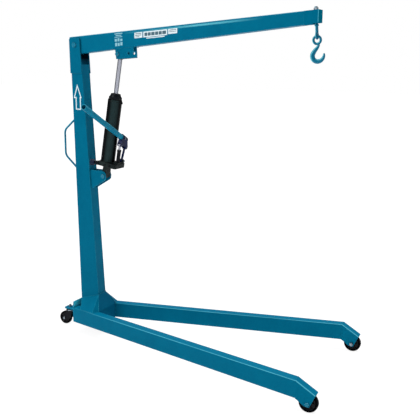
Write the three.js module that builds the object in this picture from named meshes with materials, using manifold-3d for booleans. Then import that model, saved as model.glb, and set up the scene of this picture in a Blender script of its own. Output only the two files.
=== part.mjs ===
// Fixed-leg workshop crane: V-shaped channel legs, tapered mast, tapered boom lifted by a
// hand-pumped hydraulic ram, and an eye bolt with a lifting hook at the boom nose.
// Millimetres, +Z up. +X points along the boom, +Y to the left-hand side of the crane.
// Origin: on the floor, on the centre plane, where the rear castor wheel stands.
// The dimensions below are counted from under the rear face of the mast; the finished crane
// is moved to its origin at the end.
import * as THREE from 'three';
import { mergeVertices } from 'three/addons/utils/BufferGeometryUtils.js';
import Module from 'manifold-3d';

const wasm = await Module();
wasm.setup();

// ---------------------------------------------------------------- driving dimensions
const GAP = 0.3;            // clearance between neighbouring solids
const HEAD_BITE = 0.1;      // how far a cross bolt's shank runs into its head
const HEX = 6;              // sides of a hexagon bar

// legs: they spread from the mast to a bend, then run parallel to the centre plane as toes
const LEG_TOP = 164;
const LEG_BOT = 69;
const LEG_W = 52.4;
const LEG_T = 5;
const LEG_FOLD_R = 6;
const LEG_REAR_X = -19.2;
const LEG_REF_X = -25.5;    // where the outer side stands LEG_REF_OUT from the centre plane
const LEG_REF_OUT = 103.2;
const BEND_X = 1583.4;
const BEND_OUT = 445.9;
const LEG_SLOPE = (BEND_OUT - LEG_REF_OUT) / (BEND_X - LEG_REF_X);
const LEG_ANGLE = Math.atan(LEG_SLOPE);
const TOE_START_X = BEND_X - 2;
const TOE_END_X = 1688;
const TOE_END_Z = 103.5;
const legOuterY = (x) => LEG_REF_OUT + (x - LEG_REF_X) * LEG_SLOPE;
const legInnerY = (x) => legOuterY(x) - LEG_W / Math.cos(LEG_ANGLE);

// wheels
const WHEEL_R = 50;
const WHEEL_W = 30;
const WHEEL_X = 1647;
const WHEEL_Y = BEND_OUT - LEG_W / 2;
const CASTOR_R = 42;
const CASTOR_W = 26;
const CASTOR_X = -125;      // swivel axis
const CASTOR_TRAIL = 36;

// mast
const MAST_Y = 39;          // half width
const MAST_T = 5;
const MAST_Z0 = 75;
const MAST_Z1 = 1678;
const MAST_DEPTH = 144.2;   // front to rear, at floor level
const MAST_REAR_TAPER = 0.01493;
const MAST_FRONT_TAPER = 0.0541;
const mastRear = (z) => -MAST_REAR_TAPER * z;
const mastFront = (z) => MAST_DEPTH - MAST_FRONT_TAPER * z;
const CHEEK_IN = MAST_Y + GAP;
const CHEEK_OUT = CHEEK_IN + 7;
const REAR_PLATE_X1 = LEG_REAR_X - GAP;
const REAR_PLATE_X0 = REAR_PLATE_X1 - 6;

// boom
const BOOM_HALF = 34.6;     // half width
const BOOM_T = 4;
const BOOM_FOLD_R = 5;
const BOOM_X0 = -32;
const BOOM_X1 = 1424;
const NOSE_X = 1503;
const BOOM_SLOPE = 0.07695;
const boomTop = (x) => 1838.4 + BOOM_SLOPE * x;
const boomBot = (x) => boomTop(x) - (102.4 - 0.02377 * x);
const PIVOT = [10.1, 1789.2];     // x, z
const PIVOT_R = 10;

// ram
const LOWER_PIN = [182.5, 1014];  // x, z
const UPPER_PIN = [306, 1737.7];
const RAM_RUN = UPPER_PIN[0] - LOWER_PIN[0];
const RAM_RISE = UPPER_PIN[1] - LOWER_PIN[1];
const RAM_LEN = Math.hypot(RAM_RUN, RAM_RISE);
const RAM_TILT = Math.atan2(RAM_RUN, RAM_RISE);
const RAM_R = 42.5;
const ROD_R = 13;
const PIN_R = 8;
const HEAD_TOP = RAM_LEN - PIN_R - 2.4;

// eye bolt and hook; the bolt stands square to the boom
const BOLT_REF = new THREE.Vector3(1480, 0, 1905);
const BOLT_LEAN = Math.atan(BOOM_SLOPE);
const EYE_R = 15;
const EYE_WIRE = 5.6;
const EYE_Z = -77.3;        // eye centre along the bolt
const SHANK_R = 8.2;
const RING_R = 21;
const RING_WIRE = 6.2;

// ---------------------------------------------------------------- materials
const standard = (settings) => new THREE.MeshStandardMaterial(settings);
const paint = () => standard({ color: 0x006484, roughness: 0.42, metalness: 0.25 });
const black = () => standard({ color: 0x1c2426, roughness: 0.5, metalness: 0.3 });
const castIron = () => standard({ color: 0x2a3634, roughness: 0.55, metalness: 0.35 });
const steel = () => standard({ color: 0xaeb1ba, roughness: 0.25, metalness: 1.0 });
const zinc = () => standard({ color: 0x9fb4bc, roughness: 0.4, metalness: 0.9 });
const rubber = () => standard({ color: 0x0a0a0c, roughness: 0.75, metalness: 0.0 });

// ---------------------------------------------------------------- solids and meshes
function toSolid(geometry) {
  geometry.deleteAttribute('normal');
  geometry.deleteAttribute('uv');
  const merged = mergeVertices(geometry, 1e-4);
  return new wasm.Manifold(new wasm.Mesh({
    numProp: 3,
    vertProperties: new Float32Array(merged.attributes.position.array),
    triVerts: new Uint32Array(merged.index.array),
  }));
}

function toGeometry(solid) {
  const mesh = solid.getMesh();
  const geometry = new THREE.BufferGeometry();
  const positions = new Float32Array(mesh.vertProperties);
  geometry.setAttribute('position', new THREE.BufferAttribute(positions, 3));
  geometry.setIndex(new THREE.BufferAttribute(new Uint32Array(mesh.triVerts), 1));
  geometry.computeVertexNormals();
  return geometry;
}

const join = (...parts) => parts.reduce((whole, part) => whole.add(part));
const cut = (body, ...tools) => tools.reduce((rest, tool) => rest.subtract(tool), body);
const mirrorY = (solid) => solid.mirror([0, 1, 0]);
const largest = (solid) => solid.decompose().sort((a, b) => b.volume() - a.volume())[0];

function put(parent, name, solid, material) {
  const mesh = new THREE.Mesh(toGeometry(solid), material);
  mesh.name = name;
  parent.add(mesh);
}

// a right-hand piece and its mirror image on the left
function putPair(parent, name, solid, material) {
  put(parent, `${name}_right`, solid, material());
  put(parent, `${name}_left`, mirrorY(solid), material());
}

// ---------------------------------------------------------------- prisms
const X_AXIS = new THREE.Vector3(1, 0, 0);
const Y_AXIS = new THREE.Vector3(0, 1, 0);
const Z_AXIS = new THREE.Vector3(0, 0, 1);
const ONTO_XZ = new THREE.Matrix4().makeBasis(X_AXIS, Z_AXIS, new THREE.Vector3(0, -1, 0));
const ONTO_YZ = new THREE.Matrix4().makeBasis(Y_AXIS, Z_AXIS, X_AXIS);

const toVectors = (points) => points.map(([a, b]) => new THREE.Vector2(a, b));

function extrude(points, depth, hole) {
  const shape = new THREE.Shape(toVectors(points));
  if (hole) shape.holes.push(new THREE.Path(toVectors(hole)));
  return new THREE.ExtrudeGeometry(shape, { depth, bevelEnabled: false });
}
const extrudeXY = (points, z0, z1) => extrude(points, z1 - z0).translate(0, 0, z0);
const extrudeYZ = (points, x0, x1, hole) =>
  extrude(points, x1 - x0, hole).applyMatrix4(ONTO_YZ).translate(x0, 0, 0);

const prismXY = (points, z0, z1) => toSolid(extrudeXY(points, z0, z1));
const prismYZ = (points, x0, x1) => toSolid(extrudeYZ(points, x0, x1));
const prismXZ = (points, y0, y1) =>
  toSolid(extrude(points, y1 - y0).applyMatrix4(ONTO_XZ).translate(0, y1, 0));

function box([x0, x1], [y0, y1], [z0, z1]) {
  const geometry = new THREE.BoxGeometry(x1 - x0, y1 - y0, z1 - z0);
  return toSolid(geometry.translate((x0 + x1) / 2, (y0 + y1) / 2, (z0 + z1) / 2));
}

// moves every vertex to where `move` sends it
function reshape(geometry, move) {
  const position = geometry.attributes.position;
  for (let i = 0; i < position.count; i++) {
    position.setXYZ(i, ...move(position.getX(i), position.getY(i), position.getZ(i)));
  }
  return geometry;
}

// rounded fold of a channel: [inset from the side, drop from the top] from side to top
const foldArc = (radius) => [0, 22.5, 45, 67.5, 90]
  .map((degrees) => (degrees * Math.PI) / 180)
  .map((angle) => [radius * (1 - Math.cos(angle)), radius * (1 - Math.sin(angle))]);

// ---------------------------------------------------------------- round and hexagon bars
function bar(radius, start, end, segments = 24, endRadius = radius) {
  const from = new THREE.Vector3(...start);
  const to = new THREE.Vector3(...end);
  const run = to.clone().sub(from);
  const turn = new THREE.Quaternion().setFromUnitVectors(Y_AXIS, run.clone().normalize());
  const geometry = new THREE.CylinderGeometry(endRadius, radius, run.length(), segments);
  geometry.rotateY(Math.PI / segments);
  geometry.applyQuaternion(turn);
  geometry.translate((from.x + to.x) / 2, (from.y + to.y) / 2, (from.z + to.z) / 2);
  return toSolid(geometry);
}
const barX = (radius, [y, z], x0, x1, segments) => bar(radius, [x0, y, z], [x1, y, z], segments);
const barY = (radius, [x, z], y0, y1, segments) => bar(radius, [x, y0, z], [x, y1, z], segments);
const barZ = (radius, [x, y], z0, z1, segments) => bar(radius, [x, y, z0], [x, y, z1], segments);
const hexRadius = (flats) => flats / Math.sqrt(3);

// bolt across the crane: head on the right, its inner face at y = -seat
function crossBolt({ at, radius, seat, tip, flats, head, segments }) {
  return join(
    barY(radius, at, -seat - HEAD_BITE, tip, segments),
    barY(hexRadius(flats), at, -seat - head, -seat, HEX),
  );
}
// its nut on the left, inner face at y = seat
function crossNut({ at, bore, seat, flats, height, segments }) {
  const nut = barY(hexRadius(flats), at, seat, seat + height, HEX);
  return cut(nut, barY(bore, at, 0, seat + height + 20, segments));
}

// ---------------------------------------------------------------- turned and faceted pieces
// turns the faces of an indexed closed geometry outwards
function faceOutwards(geometry) {
  const position = geometry.attributes.position;
  const index = geometry.index.array;
  const corner = (k) => new THREE.Vector3().fromBufferAttribute(position, index[k]);
  let volume = 0;
  for (let i = 0; i < index.length; i += 3) {
    volume += corner(i).dot(corner(i + 1).cross(corner(i + 2)));
  }
  if (volume < 0) {
    for (let i = 0; i < index.length; i += 3) {
      [index[i], index[i + 1]] = [index[i + 1], index[i]];
    }
  }
  return geometry;
}

// profiles are [radius, height along the axis]
const lathe = (profile, segments) =>
  new THREE.LatheGeometry(toVectors(profile), segments).rotateY(Math.PI / segments);
const turnedY = (profile, segments) => toSolid(faceOutwards(lathe(profile, segments)));
const turnedZ = (profile, segments) =>
  toSolid(faceOutwards(lathe(profile, segments).rotateX(Math.PI / 2)));

function faceted(points, faces) {
  const geometry = new THREE.BufferGeometry().setFromPoints(points);
  geometry.setIndex(faces);
  return toSolid(faceOutwards(geometry));
}

// bar swept through stations { centre, tangent, radius } in the XZ plane, with closed ends;
// flatness scales its thickness along Y
function sweep(stations, segments, flatness = 1) {
  const points = [];
  const faces = [];
  for (const { centre, tangent, radius } of stations) {
    const normal = new THREE.Vector3().crossVectors(Y_AXIS, tangent).normalize();
    for (let j = 0; j < segments; j++) {
      const angle = (2 * Math.PI * j) / segments;
      points.push(centre.clone()
        .addScaledVector(normal, radius * Math.cos(angle))
        .addScaledVector(Y_AXIS, radius * flatness * Math.sin(angle)));
    }
  }
  const lastRing = (stations.length - 1) * segments;
  for (let ring = 0; ring < lastRing; ring += segments) {
    for (let j = 0; j < segments; j++) {
      const here = ring + j;
      const next = ring + ((j + 1) % segments);
      faces.push(here, next, here + segments, next, next + segments, here + segments);
    }
  }
  for (let j = 1; j < segments - 1; j++) {
    faces.push(0, j + 1, j, lastRing, lastRing + j, lastRing + j + 1);
  }
  return faceted(points, faces);
}

// sheet of constant thickness under a faceted outer surface, given by corners and triangles
function sheet(corners, triangles, thickness) {
  const outer = corners.map((corner) => new THREE.Vector3(...corner));
  const normals = outer.map(() => new THREE.Vector3());
  for (const triangle of triangles) {
    const [a, b, c] = triangle.map((k) => outer[k]);
    const normal = b.clone().sub(a).cross(c.clone().sub(a)).normalize();
    for (const k of triangle) normals[k].add(normal);
  }
  const inner = outer.map((point, k) =>
    point.clone().addScaledVector(normals[k].normalize(), -thickness));
  const count = outer.length;
  const faces = triangles.flatMap(([a, b, c]) => [a, b, c, a + count, c + count, b + count]);
  const edges = triangles.flatMap(([a, b, c]) => [[a, b], [b, c], [c, a]]);
  for (const [from, to] of edges) {
    const shared = edges.some(([start, end]) => start === to && end === from);
    if (!shared) faces.push(from, from + count, to, to, from + count, to + count);
  }
  return faceted([...outer, ...inner], faces);
}

const crane = new THREE.Group();

// ---------------------------------------------------------------- legs
// inverted folded channel along X: outer side at y = 0, inner side at y = LEG_W
function legChannel(x0, x1) {
  const fold = foldArc(LEG_FOLD_R).map(([inset, drop]) => [inset, LEG_TOP - drop]);
  return prismYZ([
    [0, LEG_BOT], ...fold, ...fold.map(([y, z]) => [LEG_W - y, z]).reverse(), [LEG_W, LEG_BOT],
    [LEG_W - LEG_T, LEG_BOT], [LEG_W - LEG_T, LEG_TOP - LEG_T],
    [LEG_T, LEG_TOP - LEG_T], [LEG_T, LEG_BOT],
  ], x0, x1);
}

// cutter that eases a folded edge of the toe's sloping top; inward is +1 or -1 along Y
function toeEdgeCutter(edgeY, inward) {
  const slope = (LEG_TOP - TOE_END_Z) / (TOE_END_X - BEND_X);
  // y inwards from the side, z from the sloping top
  const section = [[-3, -4], [0, -4], [3.6, 0], [3.6, 4], [-3, 4]]
    .map(([y, z]) => [edgeY + inward * y, z]);
  const geometry = extrudeYZ(section, TOE_START_X, TOE_START_X + 120);
  return toSolid(reshape(geometry, (x, y, z) => [x, y, z + LEG_TOP - slope * (x - BEND_X)]));
}

// toe: its side plates drop past the wheel
function legToe() {
  const outerY = -BEND_OUT;
  const innerY = outerY + LEG_W;
  // side outline, x and z
  const side = [
    [BEND_X - 26, LEG_BOT], [1571, 68.8], [1583, 67.6], [1594, 61.5], [1606, 52.5],
    [1618, 43.5], [1628, 38], [1640, 34.2], [1650, 32.8], [1657, 34.2],
    [TOE_END_X, TOE_END_Z], [BEND_X, LEG_TOP], [BEND_X - 26, LEG_TOP],
  ];
  const hollow = [
    [BEND_X - 60, 0], [1720, 0], [1720, TOE_END_Z - 22.6], [TOE_END_X, TOE_END_Z - 5.66],
    [BEND_X - 1.2, LEG_TOP - LEG_T], [BEND_X - 60, LEG_TOP - LEG_T],
  ];
  const toe = cut(
    prismXZ(side, outerY, innerY),
    prismXZ(hollow, outerY + LEG_T, innerY - LEG_T),
    // trims the outer side just behind the bend
    box([BEND_X - 40, BEND_X - 0.4], [outerY - 5, outerY + 26 * LEG_SLOPE], [0, 300]),
  );
  return cut(
    toe.intersect(box([TOE_START_X, 1800], [-600, 0], [0, 300])),
    toeEdgeCutter(outerY, 1),
    toeEdgeCutter(innerY, -1),
  );
}

function rightLeg() {
  const main = legChannel(-80, 1720)
    .rotate([0, 0, (-LEG_ANGLE * 180) / Math.PI])
    .translate([LEG_REF_X, -LEG_REF_OUT, 0])
    .intersect(box([LEG_REAR_X, BEND_X], [-600, 0], [0, 300]));
  const axleHole = barY(6.5, [WHEEL_X, WHEEL_R], -BEND_OUT - 20, -BEND_OUT + LEG_W + 20, 16);
  return cut(join(main, legToe()), axleHole);
}
putPair(crane, 'leg', rightLeg(), paint);

// ---------------------------------------------------------------- base plates
const REAR_PLATE = [   // y, z
  [-103, LEG_BOT], [103, LEG_BOT], [103, 168], [96, 201], [-96, 201], [-103, 168],
];
put(crane, 'base_rear_plate', prismYZ(REAR_PLATE, REAR_PLATE_X0, REAR_PLATE_X1), paint());

const FLARE_Z = LEG_TOP + GAP;        // lower edge, on the legs
const FLARE_TOP_Z = 254;
const FLARE_TOP_X = mastFront(FLARE_TOP_Z) + 0.5;
const FLARE_FRONT_X = 168;

// right flare: a side face, and a corner face that turns it towards the front
function flarePlate() {
  const cornerX = 150;
  const rearX = 44;
  const corners = [
    [2, -MAST_Y - GAP, 215],
    [FLARE_TOP_X, -MAST_Y - GAP, FLARE_TOP_Z],
    [cornerX, -legOuterY(cornerX) + 2, FLARE_Z],
    [rearX, -legOuterY(rearX) + 2, FLARE_Z],
    [FLARE_FRONT_X, -legInnerY(FLARE_FRONT_X) - 6, FLARE_Z],
  ];
  const plate = sheet(corners, [[0, 3, 2], [0, 2, 1], [1, 2, 4]], 5);
  return largest(plate.intersect(box([-10, 400], [-400, -MAST_Y - GAP], [FLARE_Z, 400])));
}
const flare = flarePlate();
putPair(crane, 'base_flare_plate', flare, paint);

// front plate: upper sloping part spans the flares, lower part drops between the legs
function frontPlate() {
  const topX = FLARE_TOP_X + 0.6;
  const lowX = FLARE_FRONT_X + 0.8;
  const innerY = legInnerY(FLARE_FRONT_X);
  const upper = sheet([
    [topX, -MAST_Y, FLARE_TOP_Z - 1], [topX, MAST_Y, FLARE_TOP_Z - 1],
    [lowX, innerY + 9, FLARE_Z], [lowX, -innerY - 9, FLARE_Z],
  ], [[0, 2, 1], [0, 3, 2]], 5.5).intersect(box([0, 400], [-400, 400], [FLARE_Z, 400]));
  const lower = box([FLARE_FRONT_X - 5, FLARE_FRONT_X + 0.6],
    [-innerY + 1.4, innerY - 1.4], [LEG_BOT + 1, FLARE_Z + 0.6]);
  // the flares are also cut away slightly shifted, to leave clearance
  const shifts = [[0, 0, 0], [0.35, 0, 0], [0, 0.35, 0], [0, 0, -0.3], [0, 0, 0.3]];
  const flares = shifts.map((shift) => flare.translate(shift));
  const mastSpace = prismXZ([
    [mastRear(0), 60], [mastFront(60) + GAP, 60], [mastFront(270) + GAP, 270],
    [mastRear(270), 270],
  ], -MAST_Y - 1, MAST_Y + 1);
  const tools = flares.flatMap((tool) => [tool, mirrorY(tool)]);
  return largest(cut(join(upper, lower), ...tools, mastSpace));
}
put(crane, 'base_front_plate', frontPlate(), paint());

function castorMountPlate() {
  const frontX = REAR_PLATE_X0 - GAP;
  const plan = [[-156, -18], [-148, -26], [frontX, -34], [frontX, 34], [-148, 26], [-156, 18]];
  return cut(prismXY(plan, 112, 119), barZ(6.4, [CASTOR_X, 0], 100, 130, 16));
}
put(crane, 'castor_mount_plate', castorMountPlate(), paint());

// ---------------------------------------------------------------- mast
// prism whose rear and front parts follow the mast's rear and front lines
function mastPrism(plan, z0, z1) {
  const taperAt = (x) => (x < MAST_DEPTH / 2 ? MAST_REAR_TAPER : MAST_FRONT_TAPER);
  return toSolid(reshape(extrudeXY(plan, z0, z1), (x, y, z) => [x - taperAt(x) * z, y, z]));
}

// folded channel, open at the front
function mastChannel() {
  const inside = MAST_Y - MAST_T;
  const right = [
    [0, -MAST_Y + 5], [1.5, -MAST_Y + 1.5], [5, -MAST_Y], [MAST_DEPTH, -MAST_Y],
    [MAST_DEPTH, -inside], [MAST_T, -inside],
  ];
  const left = right.map(([x, y]) => [x, -y]).reverse();
  return mastPrism([...right, ...left], MAST_Z0, MAST_Z1);
}
put(crane, 'mast_channel', mastChannel(), paint());

// plate closing the channel between its front edges
function mastFrontPlate() {
  const rearX = MAST_DEPTH - 8;
  const frontX = MAST_DEPTH - 2.5;
  const side = MAST_Y - MAST_T - GAP;
  const plan = [[rearX, -side], [frontX, -side], [frontX, side], [rearX, side]];
  return mastPrism(plan, MAST_Z0 + 1, MAST_Z1 - 1);
}
put(crane, 'mast_front_plate', mastFrontPlate(), paint());

// cheeks, lapped on the outside of the mast head
function mastCheek() {
  const rear = (z) => mastRear(z) - 0.2;
  const front = (z) => mastFront(z) + 0.2;
  const outline = [
    [rear(1625), 1625], [front(1625), 1625], [front(1822), 1822], [front(1829) - 7, 1830],
    [rear(1829) + 6, 1829], [rear(1822), 1822],
  ];
  return cut(prismXZ(outline, -CHEEK_OUT, -CHEEK_IN), barY(PIVOT_R + 0.6, PIVOT, -70, 70));
}
putPair(crane, 'mast_cheek', mastCheek(), paint);

// push handle: round bar bent in the centre plane, behind the mast
function pushHandle() {
  const radius = 6.2;
  const cornerCut = 22;     // length of bar taken up on each side of a bend
  const corners = [[-14, 1366.5], [-116, 1279], [-116.5, 1122], [-10.5, 1028]]
    .map(([x, z]) => new THREE.Vector3(x, 0, z));
  const bendAt = (i) => {
    const towards = (other) =>
      corners[i].clone().add(other.clone().sub(corners[i]).setLength(cornerCut));
    const start = towards(corners[i - 1]);
    const end = towards(corners[i + 1]);
    return new THREE.QuadraticBezierCurve3(start, corners[i], end).getPoints(5);
  };
  const centres = [corners[0], ...bendAt(1), ...bendAt(2), corners[3]];
  const stations = centres.map((centre, i) => {
    const before = centres[Math.max(i - 1, 0)];
    const after = centres[Math.min(i + 1, centres.length - 1)];
    return { centre, tangent: after.clone().sub(before).normalize(), radius };
  });
  const mastSpace = prismXZ([
    [mastRear(900) - GAP, 900], [100, 900], [100, 1500], [mastRear(1500) - GAP, 1500],
  ], -30, 30);
  return cut(sweep(stations, 12), mastSpace);
}
put(crane, 'push_handle', pushHandle(), paint());

// ---------------------------------------------------------------- lower ram ears and pin
const EAR_IN = 25.5;
const EAR_OUT = EAR_IN + 5;

function ramEar() {
  const rear = (z) => mastFront(z) + GAP;
  const outline = [
    [rear(929), 929], [190, 986], [199, 996], [201, 1012], [198, 1030], [188, 1041],
    [174, 1045], [rear(1046), 1046],
  ];
  return cut(prismXZ(outline, -EAR_OUT, -EAR_IN), barY(PIN_R + 0.4, LOWER_PIN, -60, 60, 20));
}
putPair(crane, 'ram_ear', ramEar(), paint);

const basePin = { at: LOWER_PIN, seat: EAR_OUT + GAP, flats: 22, segments: 20 };
put(crane, 'ram_base_pin', crossBolt({ ...basePin, radius: PIN_R, tip: 44, head: 7.6 }), zinc());
put(crane, 'ram_base_nut', crossNut({ ...basePin, bore: PIN_R + 0.3, height: 10.2 }), zinc());

// ---------------------------------------------------------------- boom pivot, in the cheeks
const pivotSeat = { at: PIVOT, seat: CHEEK_OUT + GAP, segments: 24 };
put(crane, 'boom_pivot_bolt', crossBolt({
  ...pivotSeat, radius: PIVOT_R, tip: CHEEK_OUT + 17, flats: 25, head: 8,
}), zinc());
put(crane, 'boom_pivot_nut', crossNut({
  ...pivotSeat, bore: PIVOT_R + 0.35, flats: 28, height: 12.7,
}), zinc());

// ---------------------------------------------------------------- boom
const boom = new THREE.Group();
crane.add(boom);

// folded box section, drawn at a nominal height and fitted to the boom's two edge lines
function boomBeam() {
  const height = 100;
  const low = foldArc(BOOM_FOLD_R).map(([inset, rise]) => [-BOOM_HALF + inset, rise]);
  const high = low.map(([y, z]) => [y, height - z]);
  const right = [...low.slice().reverse(), ...high];
  const left = right.map(([y, z]) => [-y, z]).reverse();
  const inside = BOOM_HALF - BOOM_T;
  const hollow = [
    [-inside, BOOM_T], [inside, BOOM_T], [inside, height - BOOM_T], [-inside, height - BOOM_T],
  ];
  const geometry = extrudeYZ([...right, ...left], BOOM_X0, BOOM_X1, hollow);
  reshape(geometry, (x, y, z) =>
    [x, y, z > height / 2 ? z - height + boomTop(x) : z + boomBot(x)]);
  return cut(toSolid(geometry), barY(13.4, PIVOT, -50, 50));
}
put(boom, 'boom_beam', boomBeam(), paint());

const pivotBush = cut(barY(13, PIVOT, -38.6, 38.6), barY(PIVOT_R + 0.5, PIVOT, -50, 50));
put(boom, 'boom_pivot_bush', pivotBush, steel());

const boltDirection = new THREE.Vector3(-Math.sin(BOLT_LEAN), 0, Math.cos(BOLT_LEAN));
const onBolt = (distance) => BOLT_REF.clone().addScaledVector(boltDirection, distance);

// hollow nose piece with a hole for the eye bolt
function boomNose() {
  const rearX = BOOM_X1 + GAP;
  const side = [
    [rearX, 1880.6], [1470.7, 1884.2], [1470.7, 1888.4], [NOSE_X, 1890.9],
    [NOSE_X, boomTop(NOSE_X)], [rearX, boomTop(rearX)],
  ];
  const rightPlan = [
    [rearX - 5, -BOOM_HALF], [NOSE_X - 9, -BOOM_HALF], [NOSE_X - 2.6, -BOOM_HALF + 2.6],
    [NOSE_X, -BOOM_HALF + 9],
  ];
  const plan = [...rightPlan, ...rightPlan.map(([x, y]) => [x, -y]).reverse()];
  const hollowX0 = rearX - 5;
  const hollowX1 = NOSE_X - 5;
  const hollow = prismXZ([
    [hollowX0, 1884.8], [hollowX1, 1894.8],
    [hollowX1, boomTop(hollowX1) - 5], [hollowX0, boomTop(hollowX0) - 5],
  ], -BOOM_HALF + 5, BOOM_HALF - 5);
  const boltHole = bar(SHANK_R + 0.5, onBolt(-60), onBolt(90), 20);
  const block = prismXZ(side, -BOOM_HALF, BOOM_HALF).intersect(prismXY(plan, 1800, 2000));
  return cut(block, hollow, boltHole);
}
put(boom, 'boom_nose', boomNose(), paint());

// ram bracket plates under the boom; the left plate stops short of the third hole
const BRACKET_T = 6;
const bracketTop = (x) => [x, boomBot(x) - GAP];
const BRACKET_RIGHT = [   // x, z
  bracketTop(289.5), [297, 1708.4], [438, 1719], [434, 1751], [416, 1752.5], bracketTop(413),
];
const BRACKET_LEFT = [bracketTop(289.5), [297, 1708.4], [399, 1716.1], bracketTop(396)];

function ramBracket(outline, y0, y1) {
  return cut(prismXZ(outline, y0, y1),
    barY(PIN_R + 0.4, UPPER_PIN, -50, 50, 20),
    barY(8.5, [382, 1741], -50, 50, 20),
    barY(8.5, [417, 1741], -50, 50, 20));
}
put(boom, 'ram_bracket_right',
  ramBracket(BRACKET_RIGHT, -BOOM_HALF, -BOOM_HALF + BRACKET_T), paint());
put(boom, 'ram_bracket_left',
  ramBracket(BRACKET_LEFT, BOOM_HALF - BRACKET_T, BOOM_HALF), paint());

const topPin = { at: UPPER_PIN, seat: BOOM_HALF + 0.6, flats: 22, segments: 20 };
put(boom, 'ram_top_pin', crossBolt({ ...topPin, radius: PIN_R, tip: 49, head: 7.3 }), zinc());
put(boom, 'ram_top_nut', crossNut({ ...topPin, bore: PIN_R + 0.35, height: 10.8 }), zinc());

// ---------------------------------------------------------------- eye bolt, nut and hook
// the group's z runs up along the bolt
const eyeGroup = new THREE.Group();
eyeGroup.position.copy(BOLT_REF);
eyeGroup.rotation.y = -BOLT_LEAN;
crane.add(eyeGroup);

function eyeBolt() {
  const eye = new THREE.TorusGeometry(EYE_R, EYE_WIRE, 10, 20);
  return join(
    barZ(SHANK_R, [0, 0], EYE_Z + EYE_R - 1, 65, 20),
    toSolid(eye.rotateY(Math.PI / 2).translate(0, 0, EYE_Z)),
    bar(12, [0, 0, -30], [0, 0, -22.5], 20, 11),
  );
}
put(eyeGroup, 'eye_bolt', eyeBolt(), paint());

function eyeBoltNut() {
  const seat = (boomTop(BOLT_REF.x) - BOLT_REF.z) * Math.cos(BOLT_LEAN) + 0.4;
  return cut(barZ(hexRadius(22), [0, 0], seat, seat + 12, HEX),
    barZ(SHANK_R + 0.4, [0, 0], 0, 90, 20));
}
put(eyeGroup, 'eye_bolt_nut', eyeBoltNut(), zinc());

// hook: hangs on the lower arc of the eye
const hookGroup = new THREE.Group();
hookGroup.position.copy(onBolt(EYE_Z - EYE_R));
crane.add(hookGroup);

const HOOK_STATIONS = [   // x, z, radius
  [9, -28, 6], [9.5, -35.5, 6.8], [2, -45, 8.8], [-10, -59, 11.2], [-20.5, -77, 12.8],
  [-22, -92, 12.9], [-14.5, -106, 12.6], [0, -114, 12.2], [15, -113.5, 11.8],
  [28, -106.5, 10.8], [36.5, -95, 8.8], [40, -82, 6.6], [39.5, -71, 4],
];

function hookBody() {
  const steps = 22;
  const points = HOOK_STATIONS.map(([x, z]) => new THREE.Vector3(x, 0, z));
  const radii = HOOK_STATIONS.map(([, , radius]) => radius);
  const curve = new THREE.CatmullRomCurve3(points, false, 'centripetal');
  const stations = [];
  for (let i = 0; i <= steps; i++) {
    const along = i / steps;
    const place = along * (radii.length - 1);
    const k = Math.min(Math.floor(place), radii.length - 2);
    stations.push({
      centre: curve.getPoint(along),
      tangent: curve.getTangent(along),
      radius: radii[k] + (radii[k + 1] - radii[k]) * (place - k),
    });
  }
  return sweep(stations, 10, 0.82);
}

function hookRing() {
  const drop = RING_R - RING_WIRE - EYE_WIRE - GAP;
  const ring = new THREE.TorusGeometry(RING_R, RING_WIRE, 10, 22);
  return toSolid(ring.rotateX(Math.PI / 2).translate(0, 0, -drop));
}
put(hookGroup, 'hook', join(hookRing(), hookBody()), paint());

// ---------------------------------------------------------------- ram
// its own tilted frame: origin at the lower pin, x forwards, y to the left, z along the ram
const ram = new THREE.Group();
ram.position.set(LOWER_PIN[0], 0, LOWER_PIN[1]);
ram.rotation.y = RAM_TILT;
crane.add(ram);

const CAST_BOT = 65;
const CAST_TOP = 91;
const PUMP_X = 69;
const LINK_FOOT = [44, 105];      // y, z of the linkage pins
const LINK_HEAD = [60, 188];
const PISTON_EYE = [4, 206];
const BARREL_R = 11.5;
const BARREL_Y = 4;
const BARREL_TOP = 176;
const BARREL_AT = [PUMP_X, BARREL_Y];
const CENTRE = [0, 0];

// round bar along X, centred on the pump's plane
const pumpBar = (radius, at, half, segments) =>
  barX(radius, at, PUMP_X - half, PUMP_X + half, segments);

// point on the release valve's axis, which leaves the rear right corner of the base
const onValve = (distance) => [-26 - 0.93 * distance, -42 - 0.36 * distance, 78 - 0.06 * distance];

function baseCasting() {
  const plan = [
    [-38, -44], [-30, -50], [80, -50], [88, -42], [88, 52], [80, 60], [40, 60], [-30, 50],
    [-38, 44],
  ];
  const foot = [   // x, z; surrounds the lower pin
    [-13, 70], [13, 70], [15, 0], [10.6, -10.6], [0, -15], [-10.6, -10.6], [-15, 0],
  ];
  const [lugY, lugZ] = LINK_FOOT;
  const lug = [
    [lugY - 11, CAST_TOP - 3], [lugY + 11, CAST_TOP - 3], [lugY + 11, lugZ],
    [lugY + 7, lugZ + 9], [lugY - 7, lugZ + 9], [lugY - 11, lugZ],
  ];
  const casting = join(
    prismXY(plan, CAST_BOT, CAST_TOP),
    prismXZ(foot, -24, 24),
    box([PUMP_X - 16, PUMP_X + 16], [-16, 24], [CAST_TOP - 2, CAST_TOP + 9]),
    prismYZ(lug, PUMP_X - 13, PUMP_X - 7.4),
    prismYZ(lug, PUMP_X + 7.4, PUMP_X + 13),
  );
  return cut(casting,
    barY(PIN_R + 0.5, CENTRE, -60, 60, 20),
    pumpBar(5.3, LINK_FOOT, 30, 16),
    barZ(BARREL_R + 0.3, BARREL_AT, CAST_TOP - 8, CAST_TOP + 40, 20),
    barZ(39.3, CENTRE, CAST_TOP - 12, CAST_TOP + 30, 32),
    bar(5.4, onValve(-15), onValve(60), 16));
}
put(ram, 'ram_base_casting', baseCasting(), castIron());

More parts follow.
